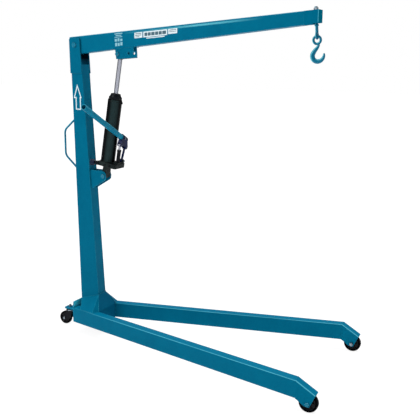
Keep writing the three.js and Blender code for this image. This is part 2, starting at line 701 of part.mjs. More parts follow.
function reservoir() {
  const bottom = CAST_TOP + GAP;
  const profile = [[0, bottom], [RAM_R, bottom], [RAM_R, 466], [RAM_R - 3, 469.5], [0, 469.5]];
  return cut(turnedZ(profile, 32), barZ(RAM_R - 3.5, CENTRE, 0, 600, 32));
}
put(ram, 'ram_reservoir', reservoir(), black());

const pressureTube = cut(barZ(28, CENTRE, CAST_TOP - 11, 469, 28),
  barZ(22.5, CENTRE, CAST_TOP - 20, 480, 28));
put(ram, 'ram_pressure_tube', pressureTube, steel());

const GLAND_NUT = [[0, 470], [38, 470], [38, 484], [30, 494], [29, 502], [0, 502]];
const glandNut = cut(turnedZ(GLAND_NUT, 12), barZ(ROD_R + 0.6, CENTRE, 400, 600));
put(ram, 'ram_gland_nut', glandNut, black());

// short plug on the reservoir wall, front left, near the top
function fillerPlug() {
  const wallX = RAM_R * 0.93;
  const wallY = RAM_R * 0.37;
  return bar(6, [wallX + 0.6, wallY + 0.2, 452], [wallX + 4.2, wallY + 1.67, 452], 12);
}
put(ram, 'filler_plug', fillerPlug(), black());

function pumpBarrel() {
  const barrel = join(
    barZ(BARREL_R, BARREL_AT, CAST_TOP - 7, BARREL_TOP, 20),
    barZ(hexRadius(25), BARREL_AT, BARREL_TOP - 12, BARREL_TOP, HEX),
  );
  return cut(barrel, barZ(6.9, BARREL_AT, CAST_TOP + 6, 300, 16));
}
put(ram, 'pump_barrel', pumpBarrel(), black());

const fulcrumBolt = join(
  barX(5, LINK_FOOT, PUMP_X - 19, PUMP_X + 14, 16),
  barX(hexRadius(14), LINK_FOOT, PUMP_X + 13.4, PUMP_X + 19, HEX),
);
put(ram, 'fulcrum_bolt', fulcrumBolt, zinc());

put(ram, 'ram_rod', barZ(ROD_R, CENTRE, 276.4, HEAD_TOP - 12), steel());
put(ram, 'ram_piston_head', turnedZ([[0, 250], [22, 250], [22, 276], [0, 276]], 28), steel());

// head on the rod end: the bracket pin bears on its flat top
function rodHead() {
  const head = join(
    barZ(16, CENTRE, HEAD_TOP - 19, HEAD_TOP - 8, 20),
    box([-15, 15], [-12, 12], [HEAD_TOP - 9, HEAD_TOP]),
  );
  return cut(head, barZ(ROD_R + 0.3, CENTRE, 600, HEAD_TOP - 11.6));
}
put(ram, 'ram_rod_head', rodHead(), black());

// ---------------------------------------------------------------- pump linkage, ram frame
function fulcrumLink() {
  const [footY, footZ] = LINK_FOOT;
  const [headY, headZ] = LINK_HEAD;
  const halfWidth = 5.5;
  const run = new THREE.Vector2(headY - footY, headZ - footZ).normalize();
  const sideY = -run.y * halfWidth;
  const sideZ = run.x * halfWidth;
  const web = prismYZ([
    [footY + sideY, footZ + sideZ], [footY - sideY, footZ - sideZ],
    [headY - sideY, headZ - sideZ], [headY + sideY, headZ + sideZ],
  ], PUMP_X - 5, PUMP_X + 5);
  const link = join(pumpBar(9, LINK_FOOT, 6, 20), pumpBar(9, LINK_HEAD, 6, 20), web);
  return cut(link, pumpBar(5.4, LINK_FOOT, 30, 16), pumpBar(4.5, LINK_HEAD, 30, 16));
}
put(ram, 'fulcrum_link', fulcrumLink(), black());

// round rod with a flattened eye, slotted sideways for the arc of its pin
function pumpPiston() {
  const [y, z] = PISTON_EYE;
  const slotted = (radius, half) =>
    join(pumpBar(radius, [y, z], half, 20), pumpBar(radius, [y + 2.8, z - 0.6], half, 20));
  const piston = join(barZ(6.4, BARREL_AT, 118, z - 7, 16), slotted(8.8, 5.5));
  return cut(piston, slotted(5.5, 30));
}
put(ram, 'pump_piston', pumpPiston(), steel());

// handle axis, y and z
const HANDLE_START = new THREE.Vector2(27, 245);
const HANDLE_END = new THREE.Vector2(-402, 457);
const HANDLE_R = 16;
const handleDirection = HANDLE_END.clone().sub(HANDLE_START).normalize();
function onHandle(distance) {
  const point = HANDLE_START.clone().addScaledVector(handleDirection, distance);
  return [PUMP_X, point.x, point.y];
}

// two cheeks over the link and piston eye, and a round boss that holds the handle
function handleSocket() {
  const yoke = [   // y, z
    [70, 179], [74, 190], [66, 222], [30, 244], [4, 240], [-7, 214], [-5, 201], [4, 197.4],
    [30, 201], [48, 190], [52, 180], [60, 175],
  ];
  const slot = [
    [-30, 150], [100, 150], [100, 203], [74, 203], [38, 222], [6, 222], [-30, 222],
  ];
  const boss = bar(20.5, onHandle(-30), onHandle(22), 28);
  return cut(join(prismYZ(yoke, PUMP_X - 13, PUMP_X + 13), boss),
    bar(HANDLE_R + 0.4, onHandle(-18), onHandle(60), 28),
    prismYZ(slot, PUMP_X - 6.8, PUMP_X + 6.8),
    pumpBar(4.4, LINK_HEAD, 30, 16),
    pumpBar(4.4, PISTON_EYE, 30, 16));
}
put(ram, 'handle_socket', handleSocket(), black());

const handleTube = cut(
  bar(HANDLE_R, onHandle(-17), [PUMP_X, HANDLE_END.x, HANDLE_END.y], 28),
  bar(HANDLE_R - 3, onHandle(-30), onHandle(520), 28),
);
put(ram, 'handle_tube', handleTube, paint());

put(ram, 'fulcrum_pin', pumpBar(4, LINK_HEAD, 15, 16), zinc());
put(ram, 'pump_piston_pin', pumpBar(4, PISTON_EYE, 15, 16), zinc());

// spindle and round knob
const releaseValve = join(
  bar(4.8, onValve(-8), onValve(60), 16),
  bar(17, onValve(40), onValve(58), 20, 18.5),
);
put(ram, 'release_valve', releaseValve, black());

// ---------------------------------------------------------------- wheels
// wheel about Y; the flats of its rim touch the given radius
function wheel({ radius, width, bore, segments }) {
  const rim = radius / Math.cos(Math.PI / segments);
  const half = width / 2;
  const rightHalf = [
    [bore, -half - 4], [bore + 8, -half - 4], [bore + 9, -half + 3],
    [radius * 0.72, -half + 3], [radius * 0.78, -half], [rim - 3, -half], [rim, -half + 3.5],
  ];
  const leftHalf = rightHalf.map(([r, y]) => [r, -y]).reverse();
  return turnedY([...rightHalf, ...leftHalf, rightHalf[0]], segments);
}

const AXLE = [WHEEL_X, WHEEL_R];
for (const [name, side] of [['right', -1], ['left', 1]]) {
  const outer = side * (BEND_OUT + GAP);
  const inner = side * (BEND_OUT - LEG_W - GAP);
  const tyre = wheel({ radius: WHEEL_R, width: WHEEL_W, bore: 6.6, segments: 24 })
    .translate([WHEEL_X, side * WHEEL_Y, WHEEL_R]);
  const bolt = join(
    barY(6, AXLE, inner - side * 14, outer + side * 0.2, 16),
    barY(hexRadius(19), AXLE, outer, outer + side * 7.5, HEX),
  );
  const nut = cut(barY(hexRadius(19), AXLE, inner, inner - side * 10.5, HEX),
    barY(6.3, AXLE, inner + side * 20, inner - side * 30, 16));
  put(crane, `front_wheel_${name}`, tyre, rubber());
  put(crane, `front_axle_bolt_${name}`, bolt, zinc());
  put(crane, `front_axle_nut_${name}`, nut, zinc());
}

// ---------------------------------------------------------------- rear castor
const KING = [CASTOR_X, 0];                   // x, y of the swivel axis
const CASTOR_WHEEL_X = CASTOR_X - CASTOR_TRAIL;
const CASTOR_AXLE = [CASTOR_WHEEL_X, CASTOR_R];

const kingBolt = join(barZ(6, KING, 91, 136.5, 16), barZ(11, KING, 84, 91.2, 20));
put(crane, 'castor_king_bolt', kingBolt, zinc());

const kingNut = cut(barZ(hexRadius(19), KING, 119.4, 130, HEX), barZ(6.35, KING, 100, 150, 16));
put(crane, 'castor_king_nut', kingNut, zinc());

const SWIVEL_HEAD = [[0, 97.2], [21, 97.2], [24, 101], [24, 107], [20, 111.6], [0, 111.6]];
const kingHole = barZ(6.4, KING, 80, 150, 16);
const swivelHead = cut(turnedZ(SWIVEL_HEAD, 28).translate([CASTOR_X, 0, 0]), kingHole);
put(crane, 'castor_swivel_head', swivelHead, black());

function castorFork() {
  const rearX = CASTOR_X - 22;
  const frontX = CASTOR_X + 20;
  const top = 96.8;
  const arm = [   // x, z
    [rearX, top], [frontX, top], [frontX, 84], [CASTOR_X + 14, 58], [CASTOR_X + 4, 42],
    [CASTOR_WHEEL_X + 14, 31], [CASTOR_WHEEL_X + 8, 28], [CASTOR_WHEEL_X, 27],
    [CASTOR_WHEEL_X - 8, 29.5], [CASTOR_WHEEL_X - 12, 38], [CASTOR_WHEEL_X - 11, 46],
    [rearX, 80],
  ];
  const fork = join(
    prismXZ(arm, -20.5, -17),
    prismXZ(arm, 17, 20.5),
    box([rearX, frontX], [-20.5, 20.5], [92, top]),
  );
  return cut(fork, kingHole, barY(5.4, CASTOR_AXLE, -40, 40, 16));
}
put(crane, 'castor_fork', castorFork(), black());

const castorWheel = wheel({ radius: CASTOR_R, width: CASTOR_W, bore: 5.6, segments: 20 });
put(crane, 'castor_wheel', castorWheel.translate([CASTOR_WHEEL_X, 0, CASTOR_R]), rubber());

const castorAxle = join(
  barY(5, CASTOR_AXLE, -21.2, 24, 16),
  barY(8, CASTOR_AXLE, -25, -20.8, 16),
);
put(crane, 'castor_axle', castorAxle, zinc());

// origin at the foot of the castor wheel
const finished = new THREE.Group();
crane.position.x = -CASTOR_WHEEL_X;
finished.add(crane);
export default finished;
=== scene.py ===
"""Workshop crane: splayed legs on wheels, a leaning mast, and a boom raised by a hydraulic ram.

Metres, +Z up. The boom and legs run forward along +X; the crane's right side is -Y.
The constants below count x from the foot of the mast's rear face. The scene's origin is at
the castor wheel, so make() adds SHIFT to everything it builds.
"""
import bpy, bmesh, math, random
from mathutils import Vector, Matrix

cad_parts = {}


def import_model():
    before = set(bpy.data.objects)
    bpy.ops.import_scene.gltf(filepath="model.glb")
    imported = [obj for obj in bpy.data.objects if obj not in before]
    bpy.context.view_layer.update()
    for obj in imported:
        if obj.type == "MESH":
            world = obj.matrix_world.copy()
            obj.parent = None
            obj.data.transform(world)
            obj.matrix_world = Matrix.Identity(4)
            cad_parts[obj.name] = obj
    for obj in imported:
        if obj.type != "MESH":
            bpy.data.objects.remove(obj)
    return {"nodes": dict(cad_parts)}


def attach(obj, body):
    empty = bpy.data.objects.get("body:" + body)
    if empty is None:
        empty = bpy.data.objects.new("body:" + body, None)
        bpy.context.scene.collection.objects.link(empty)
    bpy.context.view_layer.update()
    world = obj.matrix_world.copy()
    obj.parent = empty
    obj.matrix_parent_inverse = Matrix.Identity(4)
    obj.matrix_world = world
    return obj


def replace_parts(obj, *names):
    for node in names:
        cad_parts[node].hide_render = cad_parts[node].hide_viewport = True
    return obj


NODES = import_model()["nodes"]
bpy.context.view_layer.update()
scene = bpy.context.scene
random.seed(7)

# ------------------------------------------------------------------ driving dimensions
MM = 0.001
CASTOR_WHEEL_X = -0.161
SHIFT = Vector((-CASTOR_WHEEL_X, 0, 0))
SIDES = (("right", -1), ("left", 1))

MAST_HALF, BOOM_HALF = 0.039, 0.0346                  # half widths in y
BOOM_SLOPE = 0.07695
BOOM_LEAN = math.atan(BOOM_SLOPE)
LEG_REAR_X, LEG_FRONT_X = -0.0255, 1.5834
LEG_REAR_Y, LEG_FRONT_Y = 0.1032, 0.4459              # outer faces
LEG_WIDTH = 0.0524
LEG_SPLAY = (LEG_FRONT_Y - LEG_REAR_Y) / (LEG_FRONT_X - LEG_REAR_X)
FRONT_AXLE_X, FRONT_WHEEL_RADIUS = 1.647, 0.050
EYE_BOLT = Vector((1.480, 0, 1.905))
EYE_BOLT_AXIS = Vector((-math.sin(BOOM_LEAN), 0, math.cos(BOOM_LEAN)))

# the ram's own axes: across (forward and down), to the left, and along it upwards
RAM_FOOT, RAM_TOP = Vector((0.1825, 0, 1.014)), Vector((0.306, 0, 1.7377))
RAM_TILT = math.atan2(RAM_TOP.x - RAM_FOOT.x, RAM_TOP.z - RAM_FOOT.z)
RAM_ACROSS = Vector((math.cos(RAM_TILT), 0, -math.sin(RAM_TILT)))
RAM_LEFT = Vector((0, 1, 0))
RAM_ALONG = Vector((math.sin(RAM_TILT), 0, math.cos(RAM_TILT)))


def mast_rear(z):
    return -0.01493 * z


def mast_front(z):
    return 0.1442 - 0.0541 * z


def boom_top(x):
    return 1.8384 + BOOM_SLOPE * x


def boom_bottom(x):
    return boom_top(x) - (0.1024 - 0.02377 * x)


def leg_outer(x):
    return LEG_REAR_Y + (x - LEG_REAR_X) * LEG_SPLAY


def leg_inner(x):
    return leg_outer(x) - LEG_WIDTH / math.cos(math.atan(LEG_SPLAY))


def ram_point(across, left, along):
    """Ram coordinates to crane coordinates."""
    return RAM_FOOT + RAM_ACROSS * across + RAM_LEFT * left + RAM_ALONG * along


# ------------------------------------------------------------------ frames of reference
def basis(x, y, z, origin):
    """Matrix with the given axes as columns."""
    return Matrix([(x[i], y[i], z[i], origin[i]) for i in range(3)] + [(0, 0, 0, 1)])


def square_to(axis, toward=None):
    """Unit vector square to a unit axis, leaning toward a direction (up unless given)."""
    if toward is None:
        toward = (0, 0, 1) if abs(axis.z) < 0.9 else (1, 0, 0)
    toward = Vector(toward)
    return (toward - axis * toward.dot(axis)).normalized()


def facing(axis, origin):
    """Matrix that turns local +Z to the axis and moves it to the origin given."""
    z = Vector(axis).normalized()
    x = square_to(z)
    return basis(x, z.cross(x), z, origin)


def about_x(degrees, centre):
    return Matrix.Translation(centre) @ Matrix.Rotation(math.radians(degrees), 4, "X")


RAM_PLACE = basis(RAM_ACROSS, RAM_LEFT, RAM_ALONG, RAM_FOOT)


# ------------------------------------------------------------------ shader building
def linear(rgb):
    """sRGB in 0-255 to linear RGBA."""
    return tuple(v / 12.92 if v <= 0.04045 else ((v + 0.055) / 1.055) ** 2.4
                 for v in [c / 255 for c in rgb]) + (1.0,)


class Shader:
    """A material around one Principled node, textured in object coordinates."""

    def __init__(self, name):
        self.material = bpy.data.materials.new(name)
        self.material.use_nodes = True
        self.tree = self.material.node_tree
        self.tree.nodes.clear()
        self.output = self.node("ShaderNodeOutputMaterial")
        self.surface = self.node("ShaderNodeBsdfPrincipled")
        self.put(self.output.inputs[0], self.surface.outputs[0])
        self.coords = self.node("ShaderNodeTexCoord").outputs["Object"]

    def node(self, kind, **settings):
        node = self.tree.nodes.new(kind)
        for key, value in settings.items():
            setattr(node, key, value)
        return node

    def put(self, socket, value):
        """Link a socket, or set a plain value."""
        if isinstance(value, bpy.types.NodeSocket):
            self.tree.links.new(value, socket)
        else:
            socket.default_value = value

    def stretched(self, x, y, z):
        node = self.node("ShaderNodeMapping")
        node.inputs["Scale"].default_value = (x, y, z)
        self.put(node.inputs[0], self.coords)
        return node.outputs[0]

    def noise(self, scale, detail=3, rough=0.5, vector=None):
        node = self.node("ShaderNodeTexNoise")
        node.inputs["Scale"].default_value = scale
        node.inputs["Detail"].default_value = detail
        node.inputs["Roughness"].default_value = rough
        self.put(node.inputs["Vector"], vector or self.coords)
        return node.outputs["Fac"]

    def ramp(self, value, start, end, floor=0.0):
        """Grey level from floor to 1 as the value goes from start to end."""
        node = self.node("ShaderNodeValToRGB")
        low, high = node.color_ramp.elements
        low.position, high.position = start, end
        low.color = (floor, floor, floor, 1)
        self.put(node.inputs[0], value)
        return node.outputs[0]

    def patches(self, start, end, floor=0.0, **noise):
        return self.ramp(self.noise(**noise), start, end, floor)

    def mix(self, mask, first, second):
        node = self.node("ShaderNodeMix", data_type="RGBA", blend_type="MIX")
        for index, value in ((0, mask), (6, first), (7, second)):
            self.put(node.inputs[index], value)
        return node.outputs[2]

    def tint(self, colour, mask, rgb, amount):
        """Lay an sRGB colour over another, where the mask is, by an amount."""
        return self.mix(self.times(mask, amount), colour, linear(rgb))

    def math(self, operation, first, second=0.0):
        node = self.node("ShaderNodeMath", operation=operation)
        self.put(node.inputs[0], first)
        self.put(node.inputs[1], second)
        return node.outputs[0]

    def times(self, first, second):
        return self.math("MULTIPLY", first, second)

    def inverse(self, value):
        return self.math("SUBTRACT", 1.0, value)

    def along(self, value, start, end):
        """0 at start, 1 at end, and on beyond them."""
        return self.times(self.math("SUBTRACT", value, start), 1.0 / (end - start))

    def band(self, value, rise, fall):
        """1 between two soft borders, each (start, end)."""
        return self.times(self.ramp(value, *rise), self.inverse(self.ramp(value, *fall)))

    def vary(self, noise, spread, lowest):
        return self.math("ADD", self.times(noise, spread), lowest)

    def split(self, vector):
        node = self.node("ShaderNodeSeparateXYZ")
        self.put(node.inputs[0], vector)
        return node.outputs

    def normal(self, kind="Normal"):
        return self.split(self.node("ShaderNodeNewGeometry").outputs[kind])

    def turning_away(self, start, end):
        """Mask of the surface seen at a slant."""
        node = self.node("ShaderNodeLayerWeight")
        node.inputs["Blend"].default_value = 0.5
        return self.ramp(node.outputs["Facing"], start, end)

    def edge(self, radius):
        """Mask of the edges: where the rounded normal leaves the true one."""
        bevel = self.node("ShaderNodeBevel", samples=4)
        bevel.inputs["Radius"].default_value = radius
        geometry = self.node("ShaderNodeNewGeometry")
        dot = self.node("ShaderNodeVectorMath", operation="DOT_PRODUCT")
        self.put(dot.inputs[0], bevel.outputs[0])
        self.put(dot.inputs[1], geometry.outputs["True Normal"])
        return self.ramp(self.inverse(dot.outputs["Value"]), start=0.02, end=0.25)

    def bump(self, height, strength, distance, under=None):
        node = self.node("ShaderNodeBump")
        node.inputs["Strength"].default_value = strength
        node.inputs["Distance"].default_value = distance
        self.put(node.inputs["Height"], height)
        if under is not None:
            self.put(node.inputs["Normal"], under)
        return node.outputs[0]

    def finish(self, **inputs):
        """Fill the Principled node's inputs and return the material."""
        for key, value in inputs.items():
            self.put(self.surface.inputs[key.replace("_", " ")], value)
        return self.material


# ------------------------------------------------------------------ light and shade in the enamel
def fold_light(mat, colour, amount, since=None):
    """Painted highlight on rounded folds turned to the sky; with since, growing between two x."""
    band = mat.band(mat.normal()[2], rise=(0.28, 0.45), fall=(0.74, 0.85))
    band = mat.times(band, mat.patches(scale=1.7, detail=3, rough=0.55,
                                       start=0.30, end=0.62, floor=0.45))
    if since:
        along = mat.along(mat.split(mat.coords)[0], *since)
        band = mat.times(band, mat.ramp(along, 0.0, 1.0, floor=0.2))
    return mat.tint(colour, band, (104, 206, 226), amount)


def strip_light(mat, colour, top_edge, grows, fades, depth, half_width, amount):
    """A painted highlight strip at a depth under a sloping top edge, growing and fading along x.
    """
    x, _, z = mat.split(mat.coords)
    slope, height = top_edge
    top = mat.math("ADD", mat.times(x, slope), height)
    below = mat.math("SUBTRACT", top, z)
    offset = mat.math("ABSOLUTE", mat.math("SUBTRACT", below, depth))
    strip = mat.inverse(mat.ramp(mat.times(offset, 1.0 / half_width), start=0.35, end=1.0))
    strip = mat.times(strip, mat.ramp(mat.along(x, *grows), 0.0, 1.0))
    strip = mat.times(strip, mat.inverse(mat.ramp(mat.along(x, *fades), 0.0, 1.0)))
    strip = mat.times(strip, mat.patches(scale=2.3, detail=3, rough=0.55,
                                         start=0.25, end=0.6, floor=0.6))
    return mat.tint(colour, strip, (112, 214, 230), amount)


def forging_light(mat, colour, amount):
    """Painted highlight on the forged rounds' rear and upper sides."""
    x, _, z = mat.normal()
    lean = mat.math("SUBTRACT", mat.times(z, 0.35), mat.times(x, 0.8))
    band = mat.band(lean, rise=(0.02, 0.26), fall=(0.72, 0.86))
    return mat.tint(colour, band, (96, 196, 214), amount)


def nose_light(mat, colour, amount):
    """Painted highlight on the nose's upright front corners, and painted shade on its front face.
    """
    x, y, _ = mat.normal()
    band = mat.band(x, rise=(0.12, 0.34), fall=(0.80, 0.95))
    band = mat.times(band, mat.ramp(mat.math("ABSOLUTE", y), start=0.2, end=0.4))
    colour = mat.tint(colour, band, (84, 190, 212), amount)
    return mat.mix(mat.ramp(x, start=0.90, end=0.97), colour, linear((0, 104, 130)))


def face_light_and_shade(mat, colour, axis, sign, heights, rgb):
    """Painted light or shade, in the colour given, on the faces turned one way, coming in between
    two heights.
    """
    turned = mat.ramp(mat.times(mat.normal("True Normal")[axis], sign), start=0.5, end=0.7)
    z = mat.split(mat.coords)[2]
    return mat.mix(mat.times(turned, mat.ramp(mat.along(z, *heights), 0.0, 1.0)),
                   colour, linear(rgb))


# ------------------------------------------------------------------ kinds of material
def paint(name, base=(0, 106, 138), dark=(0, 99, 131), light=(0, 124, 154), edge_wear_and_highlight=0.8, rough=0.36,
          edge_radius=0.0045, rubbed_and_highlit_edge_rgb=(70, 182, 206), specular=0.03, effects=()):
    """Blue enamel, worn and with painted highlights at the edges; effects are painted light and
    shade, as (function, settings) from above.
    """
    mat = Shader(name)
    clouds = mat.patches(scale=4.5, detail=4, rough=0.6, start=0.35, end=0.72)
    streaks = mat.patches(scale=1.0, detail=5, rough=0.6, start=0.48, end=0.86,
                          vector=mat.stretched(9, 9, 1.6))
    colour = mat.mix(clouds, linear(dark), linear(base))
    colour = mat.tint(colour, streaks, light, amount=0.26)
    specks = mat.patches(scale=240, detail=2, start=0.72, end=0.78)
    colour = mat.tint(colour, specks, (40, 156, 182), amount=0.14)
    smut = mat.patches(scale=23, detail=6, rough=0.7, start=0.62, end=0.84)
    colour = mat.tint(colour, smut, (0, 72, 98), amount=0.30)
    fine = mat.patches(scale=95, detail=4, rough=0.7, start=0.38, end=0.70)
    colour = mat.tint(colour, fine, (20, 140, 170), amount=0.10)
    # edge wear and painted highlight: a lighter tone on the edges
    worn = mat.edge(edge_radius)
    worn = mat.times(worn, mat.patches(scale=46, detail=4, rough=0.65, start=0.26, end=0.60))
    worn = mat.times(worn, mat.patches(scale=2.6, detail=2, start=0.38, end=0.60, floor=0.25))
    colour = mat.tint(colour, worn, rubbed_and_highlit_edge_rgb, edge_wear_and_highlight)
    for effect, settings in effects:
        colour = effect(mat, colour, **settings)
    roughness = mat.vary(mat.noise(scale=34, detail=4, rough=0.6), spread=0.14,
                         lowest=rough - 0.07)
    grain = mat.bump(mat.noise(scale=420, detail=2), strength=0.16, distance=0.0005)
    waves = mat.bump(mat.noise(scale=26), strength=0.06, distance=0.003, under=grain)
    return mat.finish(Base_Color=colour, Roughness=roughness, Normal=waves,
                      Specular_IOR_Level=specular, Specular_Tint=linear((150, 225, 240)))


def black(name, base, dark, rough=0.4, grain=260, grain_strength=0.12, edge_wear_and_highlight=0.25, rim=(6, 9, 11),
          specular=0.2, rim_span=(0.30, 0.85)):
    """Thin dark enamel or moulding, with painted shade in the rim colour where it turns away."""
    mat = Shader(name)
    clouds = mat.patches(scale=9, detail=4, rough=0.6, start=0.35, end=0.7)
    colour = mat.mix(clouds, linear(dark), linear(base))
    dust = mat.patches(scale=48, detail=6, rough=0.7, start=0.62, end=0.8)
    colour = mat.tint(colour, dust, (110, 122, 120), amount=0.14)
    # painted shade where the surface turns away
    colour = mat.mix(mat.turning_away(*rim_span), colour, linear(rim))
    # edge wear and painted highlight: lighter edges
    worn = mat.times(mat.edge(0.0022),
                     mat.patches(scale=90, detail=3, rough=0.6, start=0.4, end=0.62))
    colour = mat.tint(colour, worn, (150, 156, 158), edge_wear_and_highlight)
    roughness = mat.vary(mat.noise(scale=50, detail=4, rough=0.6), spread=0.22,
                         lowest=rough - 0.11)
    bump = mat.bump(mat.noise(scale=grain, detail=3, rough=0.6), grain_strength, distance=0.0008)
    return mat.finish(Base_Color=colour, Roughness=roughness, Normal=bump,
                      Specular_IOR_Level=specular)


def steel(name, base, dark, rough, stretch, stain=(120, 112, 100), rim=None, metallic=1.0):
    """Brushed metal; the brushing is noise stretched by three factors."""
    mat = Shader(name)
    brushed = mat.noise(scale=14, detail=5, rough=0.7, vector=mat.stretched(*stretch))
    colour = mat.mix(mat.ramp(brushed, start=0.3, end=0.7), linear(dark), linear(base))
    stains = mat.patches(scale=30, detail=5, rough=0.7, start=0.58, end=0.8)
    colour = mat.tint(colour, stains, stain, amount=0.25)
    # painted shade: a darker rim where the surface turns away
    rim = rim or tuple(int(v * 0.55) for v in dark)
    colour = mat.mix(mat.turning_away(start=0.06, end=0.42), colour, linear(rim))
    roughness = mat.vary(brushed, spread=0.2, lowest=rough - 0.06)
    bump = mat.bump(brushed, strength=0.06, distance=0.0005)
    return mat.finish(Base_Color=colour, Roughness=roughness, Metallic=metallic, Normal=bump,
                      Specular_IOR_Level=0.3)


def rubber(name):
    mat = Shader(name)
    clouds = mat.patches(scale=30, detail=5, rough=0.65, start=0.45, end=0.8)
    colour = mat.mix(clouds, linear((1, 1, 4)), linear((6, 6, 11)))
    scuffs = mat.patches(scale=160, detail=4, rough=0.7, start=0.62, end=0.78)
    colour = mat.tint(colour, scuffs, (44, 45, 48), amount=0.12)
    roughness = mat.vary(mat.noise(scale=70, detail=3, rough=0.6), spread=0.2, lowest=0.4)
    bump = mat.bump(mat.noise(scale=520, detail=3, rough=0.6), strength=0.18, distance=0.0005)
    return mat.finish(Base_Color=colour, Roughness=roughness, Normal=bump,
                      Specular_IOR_Level=0.03)


def film(name, base, worn):
    mat = Shader(name)
    patches = mat.patches(scale=120, detail=4, rough=0.65, start=0.55, end=0.78)
    colour = mat.mix(patches, linear(base), linear(worn))
    bump = mat.bump(mat.noise(scale=300, detail=2), strength=0.08, distance=0.0003)
    roughness = mat.vary(mat.noise(scale=60), spread=0.2, lowest=0.25)
    return mat.finish(Base_Color=colour, Roughness=roughness, Normal=bump)


def top_edge_line(obj):
    """Slope, and height at x = 0, of the upper edge in the object's own coordinates."""
    points = [vertex.co for vertex in obj.data.vertices]
    low, high = min(p.x for p in points), max(p.x for p in points)
    reach = 0.12 * (high - low)
    rear = max((p for p in points if p.x < low + reach), key=lambda p: p.z)
    front = max((p for p in points if p.x > high - reach), key=lambda p: p.z)
    slope = (front.z - rear.z) / (front.x - rear.x)
    return slope, rear.z - slope * rear.x


FOLDED = dict(base=(0, 109, 142), dark=(0, 103, 136))      # the folded sections' enamel
# settings of the painted highlight strip on the boom's sides
BOOM_HIGHLIGHT_STRIP = dict(top_edge=top_edge_line(NODES["boom_beam"]), grows=(0.50, 0.95),
                  fades=(1.12, 1.37), depth=0.0130, half_width=0.0070, amount=0.72)
# painted light on the rear plate's inner face, which sits in shade
REAR_PAINTED_LIGHT = dict(axis=0, sign=1.0, heights=(0.160, 0.170), rgb=(80, 232, 255))
# painted shade on the cheeks' inner faces under the boom
CHEEK_SHADE = dict(axis=1, sign=-1.0, heights=(1.675, 1.715), rgb=(0, 14, 28))

